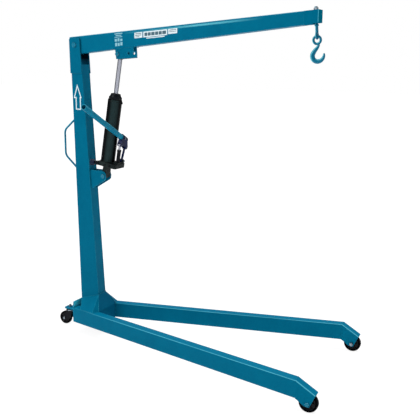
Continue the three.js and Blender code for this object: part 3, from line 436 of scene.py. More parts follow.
MATERIALS = {
    "blue": paint("enamel_blue"),
    # painted highlight on the legs' folds
    "blue_fold": paint("enamel_folded", **FOLDED, edge_wear_and_highlight=0.5,
                       effects=[(fold_light, dict(amount=0.62, since=(0.22, 0.55)))]),
    # painted highlights on the boom's folds and a painted highlight strip under its top edge
    "blue_boom": paint("enamel_boom", **FOLDED, edge_wear_and_highlight=0.5,
                       effects=[(fold_light, dict(amount=0.5)), (strip_light, BOOM_HIGHLIGHT_STRIP)]),
    # painted light on the rear plate's inner face
    "blue_rear": paint("enamel_rear_plate_painted_light", effects=[(face_light_and_shade, REAR_PAINTED_LIGHT)]),
    # painted highlight on the nose's front corners, painted shade on its front face
    "blue_nose": paint("enamel_nose", **FOLDED, edge_wear_and_highlight=0.15, specular=0.0,
                       effects=[(nose_light, dict(amount=0.8))]),
    # a lighter copy of the enamel: painted highlight on the mast's seam beads
    "blue_seam": paint("enamel_seam_painted_highlight", base=(30, 142, 170), dark=(8, 120, 150),
                       light=(110, 196, 214), edge_wear_and_highlight=0.6, edge_radius=0.0012),
    # a darker copy of the enamel: painted shade on the front plate
    "blue_shade": paint("enamel_shaded_plate", base=(0, 94, 129), dark=(0, 87, 121),
                        light=(0, 106, 138)),
    # painted shade on the cheeks' inner faces under the boom
    "blue_cheek": paint("enamel_cheek_painted_shade", effects=[(face_light_and_shade, CHEEK_SHADE)]),
    # a lighter copy of the enamel with pale edges: painted highlight on bolt heads and pins
    "blue_bolt": paint("enamel_bolt_painted_highlight", base=(24, 128, 158), dark=(4, 104, 134),
                       light=(120, 196, 212), edge_wear_and_highlight=1.0, rough=0.25, edge_radius=0.003,
                       specular=0.4, rubbed_and_highlit_edge_rgb=(190, 228, 236)),
    "blue_weld": paint("enamel_over_weld", base=(0, 112, 144), dark=(0, 96, 126),
                       light=(30, 146, 174), edge_wear_and_highlight=0.5, rough=0.3, edge_radius=0.0015,
                       specular=0.06),
    # painted highlight on the forged parts' rear and upper sides
    "blue_forged": paint("enamel_forged", base=(0, 110, 142), dark=(0, 96, 130),
                         light=(40, 160, 188), edge_wear_and_highlight=0.4, rough=0.2, edge_radius=0.002,
                         specular=0.5, effects=[(forging_light, dict(amount=0.85))]),
    # painted highlight along the tube's upper side
    "blue_tube": paint("enamel_tube", base=(0, 120, 150), dark=(0, 108, 138),
                       light=(50, 168, 192), edge_wear_and_highlight=0.6, rough=0.26, edge_radius=0.002,
                       specular=0.06, effects=[(fold_light, dict(amount=0.38))]),
    # painted shade: near-black rim where the cylinder turns away
    "cylinder": black("cylinder_enamel", base=(40, 58, 59), dark=(34, 50, 51), rough=0.3,
                      grain=180, grain_strength=0.05, edge_wear_and_highlight=0.15, rim=(1, 2, 4), specular=0.05,
                      rim_span=(0.03, 0.27)),
    "cast": black("cast_iron_enamel", base=(34, 47, 46), dark=(14, 22, 22), rough=0.5,
                  grain=140, grain_strength=0.5, edge_wear_and_highlight=0.2, rim=(6, 9, 10), specular=0.12),
    "black": black("black_enamel", base=(14, 18, 26), dark=(4, 6, 12), rough=0.36, grain=240,
                   grain_strength=0.14, rim=(3, 4, 7), specular=0.12, edge_wear_and_highlight=0.18),
    "navy": black("socket_enamel", base=(18, 40, 96), dark=(6, 16, 58), rough=0.34, grain=240,
                  rim=(5, 8, 24), specular=0.1, edge_wear_and_highlight=0.3),
    # painted shade: darker rim where the rod turns away
    "rod": steel("ground_rod", base=(196, 197, 208), dark=(174, 176, 188), rough=0.3,
                 stretch=(1, 1, 60), rim=(66, 68, 78), metallic=0.55),
    "bright": steel("turned_steel", base=(176, 180, 188), dark=(128, 132, 140), rough=0.25,
                    stretch=(20, 20, 2)),
    "zinc": steel("zinc_plate", base=(196, 208, 216), dark=(150, 166, 178), rough=0.36,
                  stretch=(6, 6, 6), stain=(150, 140, 110)),
    "tyre": rubber("tyre_compound"),
    "hub": black("hub_moulding", base=(10, 11, 18), dark=(3, 3, 9), grain=320,
                 grain_strength=0.1),
    "label": film("label_film_white", base=(226, 240, 245), worn=(190, 214, 222)),
    "label_pale": film("label_film_pale", base=(132, 194, 210), worn=(84, 158, 180)),
    "ink": film("label_ink", base=(52, 92, 108), worn=(96, 132, 146)),
    "knob": black("knob_plastic", base=(10, 26, 64), dark=(4, 12, 38), rough=0.3, grain=300,
                  grain_strength=0.06, edge_wear_and_highlight=0.1),
}

# ------------------------------------------------------------------ the CAD parts
# material of each CAD part; those not listed are "blue"
CAD_MATERIALS = {
    "zinc": "front_axle_nut_right front_axle_nut_left castor_king_bolt castor_king_nut "
            "fulcrum_bolt fulcrum_pin pump_piston_pin castor_axle eye_bolt_nut",
    "blue_forged": "eye_bolt hook push_handle",
    "blue_bolt": "boom_pivot_bolt boom_pivot_nut ram_base_pin ram_base_nut ram_top_pin "
                 "ram_top_nut front_axle_bolt_right front_axle_bolt_left",
    "blue_tube": "handle_tube",
    "blue_shade": "base_front_plate",
    "blue_rear": "base_rear_plate",
    "blue_fold": "leg_right leg_left",
    "blue_cheek": "mast_cheek_left",
    "blue_nose": "boom_nose",
    "blue_boom": "boom_beam",
    "black": "ram_gland_nut filler_plug pump_barrel ram_rod_head castor_swivel_head castor_fork",
    "cylinder": "ram_reservoir",
    "cast": "ram_base_casting",
    "rod": "ram_rod pump_piston",
    "bright": "ram_pressure_tube ram_piston_head boom_pivot_bush",
    "navy": "handle_socket fulcrum_link",
    "knob": "release_valve",
    "tyre": "front_wheel_right front_wheel_left castor_wheel",
}
CAD_MATERIAL = {part: key for key, parts in CAD_MATERIALS.items() for part in parts.split()}

# rounding of the edges in mm; 0 leaves a part as it is
DEFAULT_ROUNDING = 0.6
ROUNDING = {
    "leg_right": 1.2, "leg_left": 1.2, "mast_channel": 1.6, "boom_beam": 1.0, "boom_nose": 1.0,
    "base_rear_plate": 1.2, "base_flare_plate_right": 1.4, "base_flare_plate_left": 1.4,
    "base_front_plate": 1.2, "mast_cheek_right": 1.3, "mast_cheek_left": 1.3,
    "ram_base_casting": 2.2, "handle_socket": 1.6, "hook": 0, "eye_bolt": 0, "push_handle": 0,
    "castor_wheel": 0, "front_wheel_right": 0, "front_wheel_left": 0,
}


def add_bevel(obj, width, segments, degrees):
    bevel = obj.modifiers.new("round", "BEVEL")
    bevel.width = width
    bevel.segments = segments
    bevel.limit_method = "ANGLE"
    bevel.angle_limit = math.radians(degrees)
    return bevel


def add_weighted_normals(obj):
    normals = obj.modifiers.new("normals", "WEIGHTED_NORMAL")
    normals.weight = 60
    return normals


def dress_cad_part(name, obj):
    """Give a CAD part its material, smooth shading and rounded edges."""
    mesh = obj.data
    mesh.materials.clear()
    mesh.materials.append(MATERIALS[CAD_MATERIAL.get(name, "blue")])
    if "custom_normal" in mesh.attributes:
        mesh.attributes.remove(mesh.attributes["custom_normal"])
    for polygon in mesh.polygons:
        polygon.use_smooth = True
    obj.modifiers.new("weld", "WELD").merge_threshold = 0.00002
    rounding = ROUNDING.get(name, DEFAULT_ROUNDING)
    if rounding:
        flats = obj.modifiers.new("flats", "DECIMATE")
        flats.decimate_type = "DISSOLVE"
        flats.angle_limit = math.radians(0.8)
        bevel = add_bevel(obj, rounding * MM, 3 if rounding > 1 else 2, degrees=28)
        bevel.use_clamp_overlap = True
        bevel.miter_outer = "MITER_ARC" if rounding > 1.5 else "MITER_SHARP"
    add_weighted_normals(obj).keep_sharp = False


for part_name, part in NODES.items():
    dress_cad_part(part_name, part)


# ------------------------------------------------------------------ mesh helpers
# a shape is a pair: vertices, faces
def make(name, shape, material, body, place=None, smooth=True, bevel=0.0):
    """Build an object from a shape, riding on a body."""
    verts, faces = shape
    if place:
        verts = [place @ Vector(v) for v in verts]
    mesh = bpy.data.meshes.new(name)
    mesh.from_pydata([tuple(Vector(v) + SHIFT) for v in verts], [], faces)
    bm = bmesh.new()
    bm.from_mesh(mesh)
    bmesh.ops.remove_doubles(bm, verts=bm.verts, dist=1e-6)
    bmesh.ops.recalc_face_normals(bm, faces=bm.faces)
    bm.to_mesh(mesh)
    bm.free()
    obj = bpy.data.objects.new(name, mesh)
    scene.collection.objects.link(obj)
    mesh.materials.append(MATERIALS[material])
    for polygon in mesh.polygons:
        polygon.use_smooth = smooth
    if bevel:
        add_bevel(obj, bevel, segments=2, degrees=30)
    if smooth:
        add_weighted_normals(obj)
    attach(obj, body)
    return obj


def ring_sides(rings, seg, closed=False):
    """Quads between successive rings of seg vertices."""
    faces = []
    for i in range(rings if closed else rings - 1):
        low, high = i * seg, (i + 1) % rings * seg
        for j in range(seg):
            k = (j + 1) % seg
            faces.append((low + j, low + k, high + k, high + j))
    return faces


def end_caps(rings, seg):
    """The first and last ring, as faces."""
    return [tuple(range(seg - 1, -1, -1)), tuple(range((rings - 1) * seg, rings * seg))]


def lathe(profile, seg, closed=False, cut=None):
    """Turn a profile of (radius, height) about +Z; cut(radius, height, j) alters radii."""
    verts, faces, rows = [], [], []
    for radius, height in profile:
        if radius < 1e-9:
            rows.append([len(verts)])
            verts.append(Vector((0, 0, height)))
            continue
        rows.append(list(range(len(verts), len(verts) + seg)))
        for j in range(seg):
            angle = 2 * math.pi * (j + 0.5) / seg
            reach = cut(radius, height, j) if cut else radius
            verts.append(Vector((reach * math.cos(angle), reach * math.sin(angle), height)))
    for i in range(len(rows) if closed else len(rows) - 1):
        low, high = rows[i], rows[(i + 1) % len(rows)]
        for j in range(seg):
            k = (j + 1) % seg
            if len(low) == 1:
                faces.append((low[0], high[j], high[k]))
            elif len(high) == 1:
                faces.append((low[j], high[0], low[k]))
            else:
                faces.append((low[j], high[j], high[k], low[k]))
    return verts, faces


def turned_ring(name, profile, seg, material, body, place, bevel=0.0, cut=None):
    """A turned part whose closed profile stays off the axis."""
    return make(name, lathe(profile, seg, closed=True, cut=cut), material, body, place,
                bevel=bevel)


def prism(outline, thick):
    """Flat outline in XY, extruded along +Z."""
    count = len(outline)
    verts = [Vector((x, y, z)) for z in (0, thick) for x, y in outline]
    return verts, end_caps(2, count) + ring_sides(2, count)


def merge(shapes):
    verts, faces = [], []
    for part_verts, part_faces in shapes:
        start = len(verts)
        verts += part_verts
        faces += [tuple(i + start for i in face) for face in part_faces]
    return verts, faces


def hexagon(across_flats, thick, seg=48):
    """Hexagon with its base at z = 0 and the corners turned off at the outer face."""
    face_radius = across_flats / 2 * 0.97
    base, shoulder, top = [], [], []
    for j in range(seg):
        angle = 2 * math.pi * (j + 0.5) / seg
        reach = (across_flats / 2) / math.cos((angle % (math.pi / 3)) - math.pi / 6)
        # the shoulder dips at the corners, which gives the curved chamfer
        dip = thick - (reach - face_radius) * 0.6 - thick * 0.02
        for ring, radius, z in ((base, reach, 0), (shoulder, reach, dip),
                                (top, face_radius, thick)):
            ring.append(Vector((radius * math.cos(angle), radius * math.sin(angle), z)))
    return base + shoulder + top, ring_sides(3, seg) + end_caps(3, seg)[::-1]


def thread(radius, length, pitch):
    """A short threaded end: rings of alternating radius."""
    profile = [(0, 0)]
    steps = int(length / (pitch / 2))
    for i in range(steps + 1):
        profile.append((radius if i % 2 else radius - pitch * 0.32, length * i / steps))
    profile += [(radius * 0.72, length + 0.0008), (0, length + 0.0008)]
    return lathe(profile, seg=24)


def bead(name, points, radius, body="frame", material="blue_weld", toward=None,
         seg=8, step=0.0026, jitter=0.14):
    """Weld bead along a polyline: overlapping ripples, tapered ends."""
    corners = [Vector(p) for p in points]
    path = []
    for start, end in zip(corners[:-1], corners[1:]):
        count = max(1, int((end - start).length / step))
        path += [start.lerp(end, i / count) for i in range(count)]
    path.append(corners[-1])
    last = len(path) - 1
    rng = random.Random(len(path) * 13 + int(radius * 1e6))
    verts = []
    for i, centre in enumerate(path):
        along = (path[min(i + 1, last)] - path[max(i - 1, 0)]).normalized()
        side = square_to(along, toward)
        other = along.cross(side)
        taper = min(1.0, 0.35 + min(i, last - i) * 0.35)
        ripple = 0.84 + 0.16 * math.cos(i * math.pi * 0.72) if last > 3 else 1.0
        reach = radius * taper * ripple * (1 + rng.uniform(-jitter, jitter))
        offset = (side * rng.uniform(-1, 1) + other * rng.uniform(-1, 1)) * radius * 0.10
        for j in range(seg):
            angle = 2 * math.pi * j / seg
            verts.append(centre + offset
                         + (side * math.cos(angle) + other * math.sin(angle)) * reach)
    faces = ring_sides(last + 1, seg) + end_caps(last + 1, seg)
    return make(name, (verts, faces), material, body)


# ------------------------------------------------------------------ weld beads
# z where each run between the mast's front plate and its channel starts and ends
MAST_SEAMS = [(0.262, 0.40), (0.47, 0.60), (0.68, 0.80), (1.10, 1.22), (1.29, 1.41),
              (1.48, 1.60), (1.64, 1.676)]


def side_welds(side):
    """Rows of (name, radius, start, end) for the frame on one side, in order."""
    flare_y = side * 0.0396                           # flare plate at the mast
    flare_x = mast_front(0.254) + 0.0005
    toe_y = side * (leg_outer(0.150) - 0.002)
    heel_y = side * (leg_outer(0.044) - 0.002)
    inner_y = side * (leg_inner(0.168) + 0.006)
    low, high = 1.63, 1.674                           # the cheek's upright beads
    cheek_y = side * 0.0398
    rows = [
        ("flare_top", 0.0020, (0.005, flare_y, 0.2158), (flare_x - 0.004, flare_y, 0.2538)),
        ("flare_front_blob", 0.0050, (flare_x - 0.004, flare_y * 1.02, 0.2522),
         (flare_x + 0.0010, flare_y * 1.03, 0.2572)),
        ("flare_leg", 0.0016, (0.048, heel_y, 0.1644), (0.147, toe_y, 0.1644)),
        ("flare_toe", 0.0020, (0.150, toe_y, 0.1645), (0.167, inner_y + side * 0.001, 0.1646)),
        ("flare_edge", 0.0024, (flare_x + 0.0006, flare_y * 0.995, 0.252),
         (0.1684, inner_y - side * 0.0008, 0.1650)),
        ("flare_rear", 0.0018, (0.0015, side * 0.0415, 0.2135),
         (0.042, side * (leg_outer(0.042) - 0.004), 0.1656)),
        ("cheek_low", 0.0026, (mast_rear(1.625) + 0.003, side * 0.0400, 1.6244),
         (mast_front(1.625) - 0.003, side * 0.0400, 1.6244)),
        ("cheek_front", 0.0026, (mast_front(low) - 0.0006, cheek_y, low),
         (mast_front(high) - 0.0006, cheek_y, high)),
        ("cheek_rear", 0.0022, (mast_rear(low) + 0.0010, cheek_y, low),
         (mast_rear(high) + 0.0010, cheek_y, high)),
    ]
    seams = [("mast_seam", 0.0021, (mast_front(start) - 0.0022, side * 0.0338, start),
              (mast_front(end) - 0.0022, side * 0.0338, end)) for start, end in MAST_SEAMS]
    return rows + seams + [
        ("ear_out", 0.0026, (mast_front(0.935) + 0.0008, side * 0.0309, 0.935),
         (mast_front(1.042) + 0.0008, side * 0.0309, 1.042)),
        ("bracket", 0.0020, (0.2925, side * 0.0338, boom_bottom(0.2925) - 0.0004),
         (0.410, side * 0.0338, boom_bottom(0.410) - 0.0004)),
        ("rear_leg", 0.0020, (-0.0196, side * 0.1022, 0.080), (-0.0196, side * 0.1022, 0.152)),
        ("rear_mast", 0.0022, (-0.0185, side * 0.0372, 0.1985),
         (-0.0030, side * 0.0392, 0.2060)),
        ("leg_bend", 0.0012, (1.5832, side * 0.4400, 0.1637), (1.5832, side * 0.3985, 0.1637)),
    ]


for tag, side in SIDES:
    seam = 0
    for weld, radius, start, end in side_welds(side):
        name, material = f"weld_{weld}_{tag}", "blue_weld"
        if weld == "mast_seam":
            name, material = f"{name}_{seam}", "blue_seam"
            seam += 1
        elif weld == "flare_edge":
            material = "blue"
        bead(name, [start, end], radius, "boom" if weld == "bracket" else "frame", material)

FRONT_PLATE_X = mast_front(0.256) + 0.0010
NOSE_X = 1.4242
NOSE_LOW, NOSE_HIGH = boom_bottom(1.424) + 0.004, boom_top(1.424) - 0.004
NOSE_TOP = boom_top(1.424) - 0.0004
# name, body, radius, start, end
for weld, body, radius, start, end in (
        ("front_plate_top", "frame", 0.0030,
         (FRONT_PLATE_X, -0.036, 0.2530), (FRONT_PLATE_X, 0.036, 0.2530)),
        ("nose_right", "boom", 0.0014, (NOSE_X, -0.0342, NOSE_LOW), (NOSE_X, -0.0342, NOSE_HIGH)),
        ("nose_left", "boom", 0.0014, (NOSE_X, 0.0342, NOSE_LOW), (NOSE_X, 0.0342, NOSE_HIGH)),
        ("nose_top", "boom", 0.0014, (NOSE_X, -0.031, NOSE_TOP), (NOSE_X, 0.031, NOSE_TOP)),
        ("castor_tongue", "frame", 0.0024, (-0.0262, -0.033, 0.1192), (-0.0262, 0.033, 0.1192))):
    bead(f"weld_{weld}", [start, end], radius, body)

# oval rings where the push handle meets the mast: name, z, slope of the handle there
for tag, z, slope in (("top", 1.3640, -0.66), ("low", 1.0345, 0.66)):
    centre = Vector((mast_rear(z), 0, z)) + Vector((-0.75, 0, slope)) * 0.001
    ring = []
    for j in range(25):
        angle = 2 * math.pi * j / 24
        ring.append((centre.x - 0.0004, 0.0066 * math.sin(angle),
                     centre.z + 0.0092 * math.cos(angle)))
    bead(f"weld_push_handle_{tag}", ring, radius=0.0019, toward=(1, 0, 0))

# ------------------------------------------------------------------ threaded ends
AXLE_THREAD_Y = LEG_FRONT_Y - LEG_WIDTH - 0.0108      # inboard of the leg

for tag, side in SIDES:
    make(f"axle_thread_{tag}", thread(radius=0.0058, length=0.0035, pitch=0.0018), "zinc",
         "frame",
         about_x(90 * side, (FRONT_AXLE_X, side * AXLE_THREAD_Y, FRONT_WHEEL_RADIUS)))

make("eye_bolt_thread_end", thread(radius=0.0084, length=0.0050, pitch=0.0020), "zinc",
     "eye_bolt", facing(EYE_BOLT_AXIS, EYE_BOLT + EYE_BOLT_AXIS * 0.0597))

# ------------------------------------------------------------------ hook
HOOK_ARC = EYE_BOLT + EYE_BOLT_AXIS * (-0.0923)
HOOK_EYE_RADIUS, HOOK_EYE_WIRE = 0.0192, 0.0066
HOOK_EYE_DROP = HOOK_EYE_RADIUS - HOOK_EYE_WIRE - 0.0056 - 0.0003
# the centre line from the eye to the point: x, z from HOOK_ARC, and radius, in mm
HOOK_STATIONS = [
    (8.5, -25.6, 4.2), (9.6, -31, 6.2), (7.0, -38, 7.2), (1, -47, 8.9), (-10, -60, 11.2),
    (-19.6, -76, 12.8), (-21.2, -91, 13.0), (-14.2, -105, 12.8), (-0.4, -112.6, 12.4),
    (14.6, -112.4, 11.8), (27.4, -105.8, 10.6), (36.2, -94.6, 8.8), (39.8, -82, 6.4),
    (39.2, -73.5, 4.0), (38.8, -71.2, 2.0)]


def spline(points, steps):
    """Catmull-Rom through the points, each column alike."""
    smooth = []
    for i in range(len(points) - 1):
        four = (points[max(i - 1, 0)], points[i], points[i + 1],
                points[min(i + 2, len(points) - 1)])
        for j in range(steps):
            t = j / steps
            smooth.append(tuple(
                0.5 * (2 * b + (c - a) * t + (2 * a - 5 * b + 4 * c - d) * t * t
                       + (3 * b - a - 3 * c + d) * t ** 3) for a, b, c, d in zip(*four)))
    smooth.append(points[-1])
    return smooth


def hook_eye(steps=64, seg=20):
    verts = []
    for i in range(steps):
        turn = 2 * math.pi * i / steps
        for j in range(seg):
            angle = 2 * math.pi * j / seg
            reach = HOOK_EYE_RADIUS + HOOK_EYE_WIRE * math.cos(angle)
            verts.append(HOOK_ARC + Vector((reach * math.sin(turn),
                                            HOOK_EYE_WIRE * math.sin(angle),
                                            reach * math.cos(turn) - HOOK_EYE_DROP)))
    return verts, ring_sides(steps, seg, closed=True)


def hook_bend(seg=20):
    """The shank and bend, an oval narrower in y."""
    stations = spline(HOOK_STATIONS, steps=6)
    last = len(stations) - 1
    side = Vector((0, 1, 0))
    verts = []
    for i, (x, z, radius) in enumerate(stations):
        before, after = stations[max(i - 1, 0)], stations[min(i + 1, last)]
        along = Vector((after[0] - before[0], 0, after[1] - before[1])).normalized()
        normal = along.cross(side)
        for j in range(seg):
            angle = 2 * math.pi * j / seg
            across, aside = math.cos(angle), math.sin(angle)
            flatten = 1.0 if across > 0 else 0.94
            verts.append(HOOK_ARC + (Vector((x, 0, z)) + normal * across * radius * flatten
                                     + side * aside * radius * 0.80) * MM)
    return verts, ring_sides(last + 1, seg) + end_caps(last + 1, seg)


hook = make("forged_hook", merge([hook_eye(), hook_bend()]), "blue_forged", "hook")
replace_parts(hook, "hook")


# ------------------------------------------------------------------ wheels
def wheel(tag, node, x, y, radius, width, bore, ribs=6):
    """Solid tyre on a moulded centre with ribs, standing on the ground."""
    place = about_x(90, (x, y, radius))
    half = width / 2
    seat = radius * 0.74                              # where tyre and centre meet
    boss = bore + 0.0075
    tyre_half = [(seat, 0.80), (radius * 0.80, 0.98), (radius * 0.90, 1), (radius * 0.962, 0.93),
                 (radius * 0.992, 0.70), (radius, 0.35)]    # radius, share of half width
    tyre = ([(reach, -half * share) for reach, share in tyre_half]
            + [(reach, half * share) for reach, share in tyre_half[::-1]])
    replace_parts(turned_ring(f"tyre_{tag}", tyre, 72, "tyre", node, place), node)

    centre_half = [(seat - 0.0003, half * 0.78), (seat - 0.0035, half * 0.80),
                   (seat - 0.0045, half * 0.34), (boss + 0.003, half * 0.26),
                   (boss + 0.0005, half * 0.92), (boss - 0.001, half + 0.0032),
                   (bore + 0.0004, half + 0.0032)]          # radius, height
    # starts at the rim's lower edge, over the upper side and back along the lower
    lower = [(reach, -height) for reach, height in centre_half]
    centre = lower[:1] + centre_half + lower[:0:-1]
    hub = turned_ring(f"wheel_centre_{tag}", centre, 72, "hub", node, place, bevel=0.0004)
    hub["n"] = 0                                      # custom property carried by the centre

    rib = [(boss - 0.001, -0.0013), (seat - 0.0036, -0.0013),
           (seat - 0.0036, 0.0013), (boss - 0.001, 0.0013)]
    shapes = []
    for i in range(ribs):
        for low, high in ((-half * 0.62, -half * 0.24), (half * 0.24, half * 0.62)):
            verts, faces = prism(rib, high - low)
            turn = (Matrix.Rotation(2 * math.pi * i / ribs, 4, "Z")
                    @ Matrix.Translation((0, 0, low)))
            shapes.append(([place @ (turn @ v) for v in verts], faces))
    make(f"wheel_ribs_{tag}", merge(shapes), "hub", node, bevel=0.0005)


for tag, side in SIDES:
    wheel(f"front_{tag}", f"front_wheel_{tag}", FRONT_AXLE_X,
          side * (LEG_FRONT_Y - LEG_WIDTH / 2), FRONT_WHEEL_RADIUS, width=0.030, bore=0.0064)
wheel("castor", "castor_wheel", CASTOR_WHEEL_X, 0, radius=0.042, width=0.026, bore=0.0054)

# all turned profiles below are (radius, height)
turned_ring("castor_race_lip",
            [(0.0205, 0.0975), (0.0262, 0.0985), (0.0274, 0.1005), (0.0262, 0.1035),
             (0.0236, 0.1040), (0.0236, 0.0990), (0.0205, 0.0985)],
            48, "zinc", "castor_swivel", Matrix.Translation((-0.125, 0, 0)))

# ------------------------------------------------------------------ ram
TUBE_RADIUS = 0.0425
TUBE_BORE = TUBE_RADIUS - 0.0036
TUBE_FOOT = 0.0914

tube = turned_ring("ram_tube",
                   [(TUBE_BORE, TUBE_FOOT), (TUBE_RADIUS, TUBE_FOOT), (TUBE_RADIUS, 0.4625),
                    (TUBE_RADIUS - 0.0006, 0.4660), (TUBE_RADIUS - 0.0022, 0.4686),
                    (TUBE_RADIUS - 0.0040, 0.4694), (TUBE_BORE, 0.4660)],
                   96, "cylinder", "ram", RAM_PLACE)
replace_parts(tube, "ram_reservoir")

FOOT_WELD_RADIUS = TUBE_RADIUS + 0.0005
foot_ring = [RAM_PLACE @ Vector((FOOT_WELD_RADIUS * math.cos(2 * math.pi * j / 90),
                                 FOOT_WELD_RADIUS * math.sin(2 * math.pi * j / 90), 0.0925))
             for j in range(91)]
bead("weld_ram_tube_foot", foot_ring, 0.0022, "ram", "cast")


def spanner_notches(radius, height, j):
    """Twelve notches round the gland's skirt."""
    notched = radius > 0.03 and height < 0.4835 and (j // 4) % 2
    return radius - (0.0016 if notched else 0)


gland = turned_ring("ram_gland",
                    [(0.0140, 0.4705), (0.0388, 0.4705), (0.0388, 0.4725), (0.0388, 0.4815),
                     (0.0376, 0.4835), (0.0338, 0.4850), (0.0322, 0.4905), (0.0300, 0.4950),
                     (0.0292, 0.5005), (0.0278, 0.5020), (0.0180, 0.5020), (0.0172, 0.5006),
                     (0.0140, 0.5006)],
                    96, "black", "ram", RAM_PLACE, bevel=0.0003, cut=spanner_notches)
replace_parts(gland, "ram_gland_nut")

turned_ring("ram_rod_wiper",
            [(0.01325, 0.5008), (0.0168, 0.5008), (0.0172, 0.5022), (0.0160, 0.5042),
             (0.0140, 0.5046), (0.01325, 0.5030)],
            48, "tyre", "ram", RAM_PLACE)

# raised band just under the tube's top lip
turned_ring("ram_tube_rolled_band",
            [(TUBE_RADIUS - 0.0002, 0.4560), (TUBE_RADIUS + 0.0006, 0.4566),
             (TUBE_RADIUS + 0.0009, 0.4585), (TUBE_RADIUS + 0.0006, 0.4604),
             (TUBE_RADIUS - 0.0002, 0.4610)],
            96, "cylinder", "ram", RAM_PLACE)

# hexagon plugs on the right of the base casting: name, place across the ram, flats, thickness
for tag, across, flats, thick in (("a", 0.046, 0.014, 0.0035), ("b", 0.014, 0.011, 0.0028)):
    make(f"base_check_plug_{tag}", hexagon(flats, thick), "black", "ram",
         facing((0, -1, 0), ram_point(across, -0.050, 0.078)), bevel=0.0003)

# ------------------------------------------------------------------ pump handle
# the handle's line: (left, along) in the ram's axes, at one place across it
HANDLE_ACROSS = 0.069
HANDLE_ROOT, HANDLE_END = Vector((0.027, 0.245)), Vector((-0.402, 0.457))
HANDLE_LINE = (HANDLE_END - HANDLE_ROOT).normalized()
HANDLE_AXIS = (RAM_LEFT * HANDLE_LINE.x + RAM_ALONG * HANDLE_LINE.y).normalized()


def handle_point(distance):
    point = HANDLE_ROOT + HANDLE_LINE * distance
    return ram_point(HANDLE_ACROSS, point.x, point.y)


turned_ring("handle_rim",
            [(0.0130, -0.0020), (0.0163, -0.0020), (0.0166, -0.0012), (0.0163, 0.0002),
             (0.0152, 0.0006), (0.0136, 0.0004), (0.0130, -0.0002)],
            48, "blue_tube", "pump_handle",
            facing(HANDLE_AXIS, ram_point(HANDLE_ACROSS, HANDLE_END.x, HANDLE_END.y)))
turned_ring("handle_socket_lip",
            [(0.0163, -0.0030), (0.0206, -0.0030), (0.0210, -0.0018), (0.0206, 0.0004),
             (0.0190, 0.0012), (0.0163, 0.0012)],
            48, "navy", "pump_handle", facing(HANDLE_AXIS, handle_point(0.023)))
make("handle_lock_screw", hexagon(across_flats=0.011, thick=0.006), "zinc", "pump_handle",
     facing(RAM_ACROSS, handle_point(0.006) + RAM_ACROSS * 0.0195), bevel=0.0003)

# ------------------------------------------------------------------ release knob
KNOB_AXIS = (RAM_ACROSS * -0.93 + RAM_LEFT * -0.36 + RAM_ALONG * -0.06).normalized()
KNOB_PLACE = facing(KNOB_AXIS, ram_point(-0.026, -0.042, 0.078) + KNOB_AXIS * 0.040)
KNOB_BACK = -0.0074
KNOB_SEG = 96

turned_ring("release_gland",
            [(0.0051, -0.0330), (0.0128, -0.0330), (0.0132, -0.0320), (0.0132, -0.0215),
             (0.0118, -0.0200), (0.0118, -0.0100), (0.0106, -0.0088), (0.0051, -0.0088)],
            64, "black", "ram", KNOB_PLACE, bevel=0.0003)


def knurl(radius, height, j):
    return radius - (0.0009 if radius > 0.016 and j % 4 < 2 else 0)


verts, faces = lathe([(0.0045, KNOB_BACK), (0.0140, KNOB_BACK), (0.0172, -0.0056),
                      (0.0184, -0.0020), (0.0189, 0.0150), (0.0180, 0.0176), (0.0150, 0.0188),
                      (0.0060, 0.0182), (0.0, 0.0180)], KNOB_SEG, cut=knurl)
# a fan closes the back
back_fan = [(len(verts), j, (j + 1) % KNOB_SEG) for j in range(KNOB_SEG)]
make("release_knob_grip", (verts + [Vector((0, 0, KNOB_BACK))], faces + back_fan), "knob",
     "release_valve", KNOB_PLACE)

# ------------------------------------------------------------------ markings: blank plates
PLATE_SINK, PLATE_THICK, INK_THICK = 0.00002, 0.0003, 0.0005
PLATE_CORNER = 0.0016
# plates on the boom: rear x, front x, upper and lower edge below the boom's top edge
LABEL_BOXES = [(0.4235, 0.4760, 0.0160, 0.0470), (0.4820, 0.6370, 0.0160, 0.0470),
               (0.6430, 0.7000, 0.0160, 0.0430), (0.5020, 0.6200, 0.0500, 0.0550)]
LABEL_INK = [
    (0.4285, 0.4700, 0.0215, 0.0250), (0.4285, 0.4700, 0.0300, 0.0335),
    (0.4285, 0.4560, 0.0385, 0.0415), (0.4900, 0.5090, 0.0225, 0.0405),
    (0.5125, 0.5310, 0.0225, 0.0405), (0.5345, 0.5560, 0.0225, 0.0405),
    (0.5595, 0.5790, 0.0225, 0.0405), (0.5825, 0.6020, 0.0225, 0.0405),
    (0.6055, 0.6290, 0.0225, 0.0405), (0.6490, 0.6940, 0.0215, 0.0245),
    (0.6490, 0.6940, 0.0300, 0.0325)]
LABEL_TABLE = [
    (0.2890, 0.3420, 0.0080, 0.0140), (0.2960, 0.3350, 0.0190, 0.0240),
    (0.2890, 0.3420, 0.0280, 0.0320), (0.2900, 0.3050, 0.0390, 0.0540),
    (0.3090, 0.3220, 0.0370, 0.0540), (0.3270, 0.3420, 0.0410, 0.0540),
    (0.2920, 0.3060, 0.0610, 0.0800), (0.3100, 0.3230, 0.0630, 0.0800),
    (0.3275, 0.3420, 0.0600, 0.0780)]


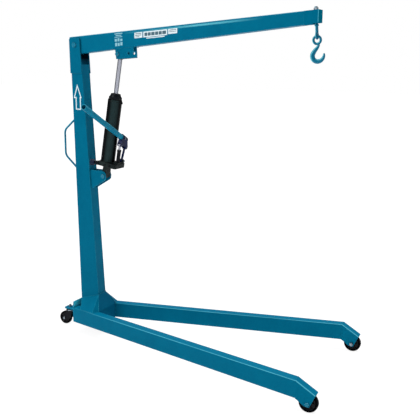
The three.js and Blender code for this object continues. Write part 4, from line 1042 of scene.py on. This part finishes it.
def boom_plate(rear, front, upper, lower, side, thick):
    """Plate with eased corners on the boom's side, long edges parallel to its top."""
    corners = [Vector((x, boom_top(x) - depth / math.cos(BOOM_LEAN)))
               for x, depth in ((rear, upper), (front, upper), (front, lower), (rear, lower))]
    outline = []
    for i, corner in enumerate(corners):
        back = (corners[i - 1] - corner).normalized()
        ahead = (corners[(i + 1) % 4] - corner).normalized()
        outline += [corner + back * PLATE_CORNER, corner + (back + ahead) * PLATE_CORNER * 0.3,
                    corner + ahead * PLATE_CORNER]
    count = len(outline)
    verts = [Vector((x, y, z)) for y in (side * (BOOM_HALF - PLATE_SINK),
                                         side * (BOOM_HALF + thick)) for x, z in outline]
    faces = [tuple(range(count)), tuple(range(2 * count - 1, count - 1, -1))]
    return verts, faces + ring_sides(2, count)


for tag, side in SIDES:
    for name, plates, material, thick in (("boxes", LABEL_BOXES, "label", PLATE_THICK),
                                          ("boxes_ink", LABEL_INK, "ink", INK_THICK),
                                          ("table", LABEL_TABLE, "label_pale", PLATE_THICK)):
        make(f"label_{name}_{tag}", merge([boom_plate(*row, side, thick) for row in plates]),
             material, "boom", smooth=False)

# arrow on the mast's sides, clockwise from its tip in (x, z); x is widened, then moved back
ARROW_WIDENING, ARROW_SETBACK = 1.10, 0.0014
ARROW_LINE = 0.0068
ARROW = [(x * ARROW_WIDENING - ARROW_SETBACK, z) for x, z in [
    (0.0167, 1.5605), (0.0437, 1.4785), (0.0373, 1.4785), (0.0373, 1.4090),
    (0.0032, 1.4090), (0.0032, 1.4785), (-0.0088, 1.4785)]]


def arrow_outline(side):
    """A line of constant width just inside the arrow."""
    outer = [Vector(p) for p in ARROW]
    count = len(outer)
    inner = []
    for i, corner in enumerate(outer):
        arriving = (corner - outer[i - 1]).normalized()
        leaving = (outer[(i + 1) % count] - corner).normalized()
        inward = Vector((arriving.y, -arriving.x))
        bisector = inward + Vector((leaving.y, -leaving.x))
        inner.append(corner + bisector * (ARROW_LINE / max(0.25, bisector.dot(inward))))
    verts = [Vector((p.x, y, p.y)) for y in (side * (MAST_HALF - PLATE_SINK),
                                             side * (MAST_HALF + PLATE_THICK))
             for p in outer + inner]
    faces = []
    for i in range(count):
        j = (i + 1) % count
        faces += [(i, j, count + j, count + i),
                  (2 * count + i, 3 * count + i, 3 * count + j, 2 * count + j),
                  (i, 2 * count + i, 2 * count + j, j),
                  (count + i, count + j, 3 * count + j, 3 * count + i)]
    return verts, faces


for tag, side in SIDES:
    make(f"arrow_outline_{tag}", arrow_outline(side), "label", "frame", smooth=False)

# ------------------------------------------------------------------ floor
FLOOR_HALF, FLOOR_Z = 40, -0.0005
FLOOR_GREY, FLOOR_GLOW = 0.17, 0.915                  # diffuse and emitted, to the camera


def floor_material():
    """Nearly white with faint shadows to the camera, plain and pale for bounced light."""
    mat = Shader("studio_floor")
    colour = mat.mix(mat.noise(scale=1.5), linear((226, 228, 230)), linear((232, 233, 234)))
    mat.finish(Base_Color=colour, Roughness=0.7, Specular_IOR_Level=0.0)
    diffuse = mat.node("ShaderNodeBsdfDiffuse")
    diffuse.inputs[0].default_value = (FLOOR_GREY, FLOOR_GREY, FLOOR_GREY, 1)
    glow = mat.node("ShaderNodeEmission")
    glow.inputs[0].default_value = (1, 1, 1, 1)
    glow.inputs[1].default_value = FLOOR_GLOW
    both = mat.node("ShaderNodeAddShader")
    mat.put(both.inputs[0], diffuse.outputs[0])
    mat.put(both.inputs[1], glow.outputs[0])
    light_path = mat.node("ShaderNodeLightPath")
    choice = mat.node("ShaderNodeMixShader")
    mat.put(choice.inputs[0], light_path.outputs["Is Camera Ray"])
    mat.put(choice.inputs[1], mat.surface.outputs[0])
    mat.put(choice.inputs[2], both.outputs[0])
    mat.put(mat.output.inputs[0], choice.outputs[0])
    return mat.material


floor_finish = floor_material()
floor_mesh = bpy.data.meshes.new("floor")
floor_mesh.from_pydata([(x * FLOOR_HALF, y * FLOOR_HALF, FLOOR_Z)
                        for x, y in ((-1, -1), (1, -1), (1, 1), (-1, 1))], [], [(0, 1, 2, 3)])
floor = bpy.data.objects.new("floor", floor_mesh)
scene.collection.objects.link(floor)
floor_mesh.materials.append(floor_finish)

# ------------------------------------------------------------------ world
WORLD_LIGHT = 0.36                                    # strength to all but the camera
WORLD_REFLECTED = 0.7                                 # further factor in reflections

world = bpy.data.worlds.new("studio")
scene.world = world
world.use_nodes = True
nodes, links = world.node_tree.nodes, world.node_tree.links
nodes.clear()
world_output = nodes.new("ShaderNodeOutputWorld")
background = nodes.new("ShaderNodeBackground")
background.inputs[0].default_value = (1, 1, 1, 1)
world_path = nodes.new("ShaderNodeLightPath")


def by_ray(kind, otherwise, when):
    """One value for a kind of ray and another for the rest."""
    node = nodes.new("ShaderNodeMapRange")
    node.inputs["To Min"].default_value = otherwise
    node.inputs["To Max"].default_value = when
    links.new(world_path.outputs[kind], node.inputs["Value"])
    return node.outputs[0]


seen = by_ray("Is Camera Ray", otherwise=WORLD_LIGHT, when=1.0)
reflected = by_ray("Is Glossy Ray", otherwise=1.0, when=WORLD_REFLECTED)
strength = nodes.new("ShaderNodeMath")
strength.operation = "MULTIPLY"
links.new(seen, strength.inputs[0])
links.new(reflected, strength.inputs[1])
links.new(strength.outputs[0], background.inputs[1])
links.new(background.outputs[0], world_output.inputs[0])


# ------------------------------------------------------------------ lights
def add_light(name, kind, energy):
    light = bpy.data.lights.new(name, kind)
    light.energy = energy
    obj = bpy.data.objects.new(name, light)
    scene.collection.objects.link(obj)
    return obj


def aim(obj, direction):
    obj.rotation_mode = "QUATERNION"
    obj.rotation_quaternion = direction.to_track_quat("-Z", "Y")


KEY_FROM, KEY_TO = Vector((-1.6, -3.6, 3.6)), Vector((0.6, 0, 0.9))
key = add_light("key", "AREA", energy=85)
key.data.size = 2.4
key.location = KEY_FROM + SHIFT
aim(key, KEY_TO - KEY_FROM)

overhead = add_light("overhead", "SUN", energy=2.4)
overhead.data.angle = math.radians(50)
overhead.rotation_euler = (math.radians(-6), math.radians(-4), 0)

fill = add_light("front_fill", "SUN", energy=0.34)
fill.data.angle = math.radians(60)
aim(fill, Vector((-1.0, -0.25, -0.2)))

scene.view_settings.view_transform = "Standard"
scene.view_settings.look = "None"
scene.view_settings.exposure = 0.0

# ------------------------------------------------------------------ camera
CAMERA_PLACE = (2.5758 + SHIFT.x, -3.4497, 1.6775)
CAMERA_BACK = Vector((0.4301, -0.8791, 0.2052)).normalized()
CAMERA_RIGHT = square_to(CAMERA_BACK, (0.898, 0.440, 0))      # before the roll
CAMERA_UP = CAMERA_BACK.cross(CAMERA_RIGHT)
CAMERA_ROLL = math.radians(0.4)

lens = bpy.data.cameras.new("camera")
lens.lens, lens.sensor_width = 58.88, 36.0
lens.clip_start, lens.clip_end = 0.05, 60
lens.shift_x, lens.shift_y = 0.0012, -0.0017
camera = bpy.data.objects.new("camera", lens)
scene.collection.objects.link(camera)
roll_cos, roll_sin = math.cos(CAMERA_ROLL), math.sin(CAMERA_ROLL)
camera.matrix_world = basis(CAMERA_RIGHT * roll_cos + CAMERA_UP * roll_sin,
                            CAMERA_UP * roll_cos - CAMERA_RIGHT * roll_sin,
                            CAMERA_BACK, CAMERA_PLACE)
scene.camera = camera
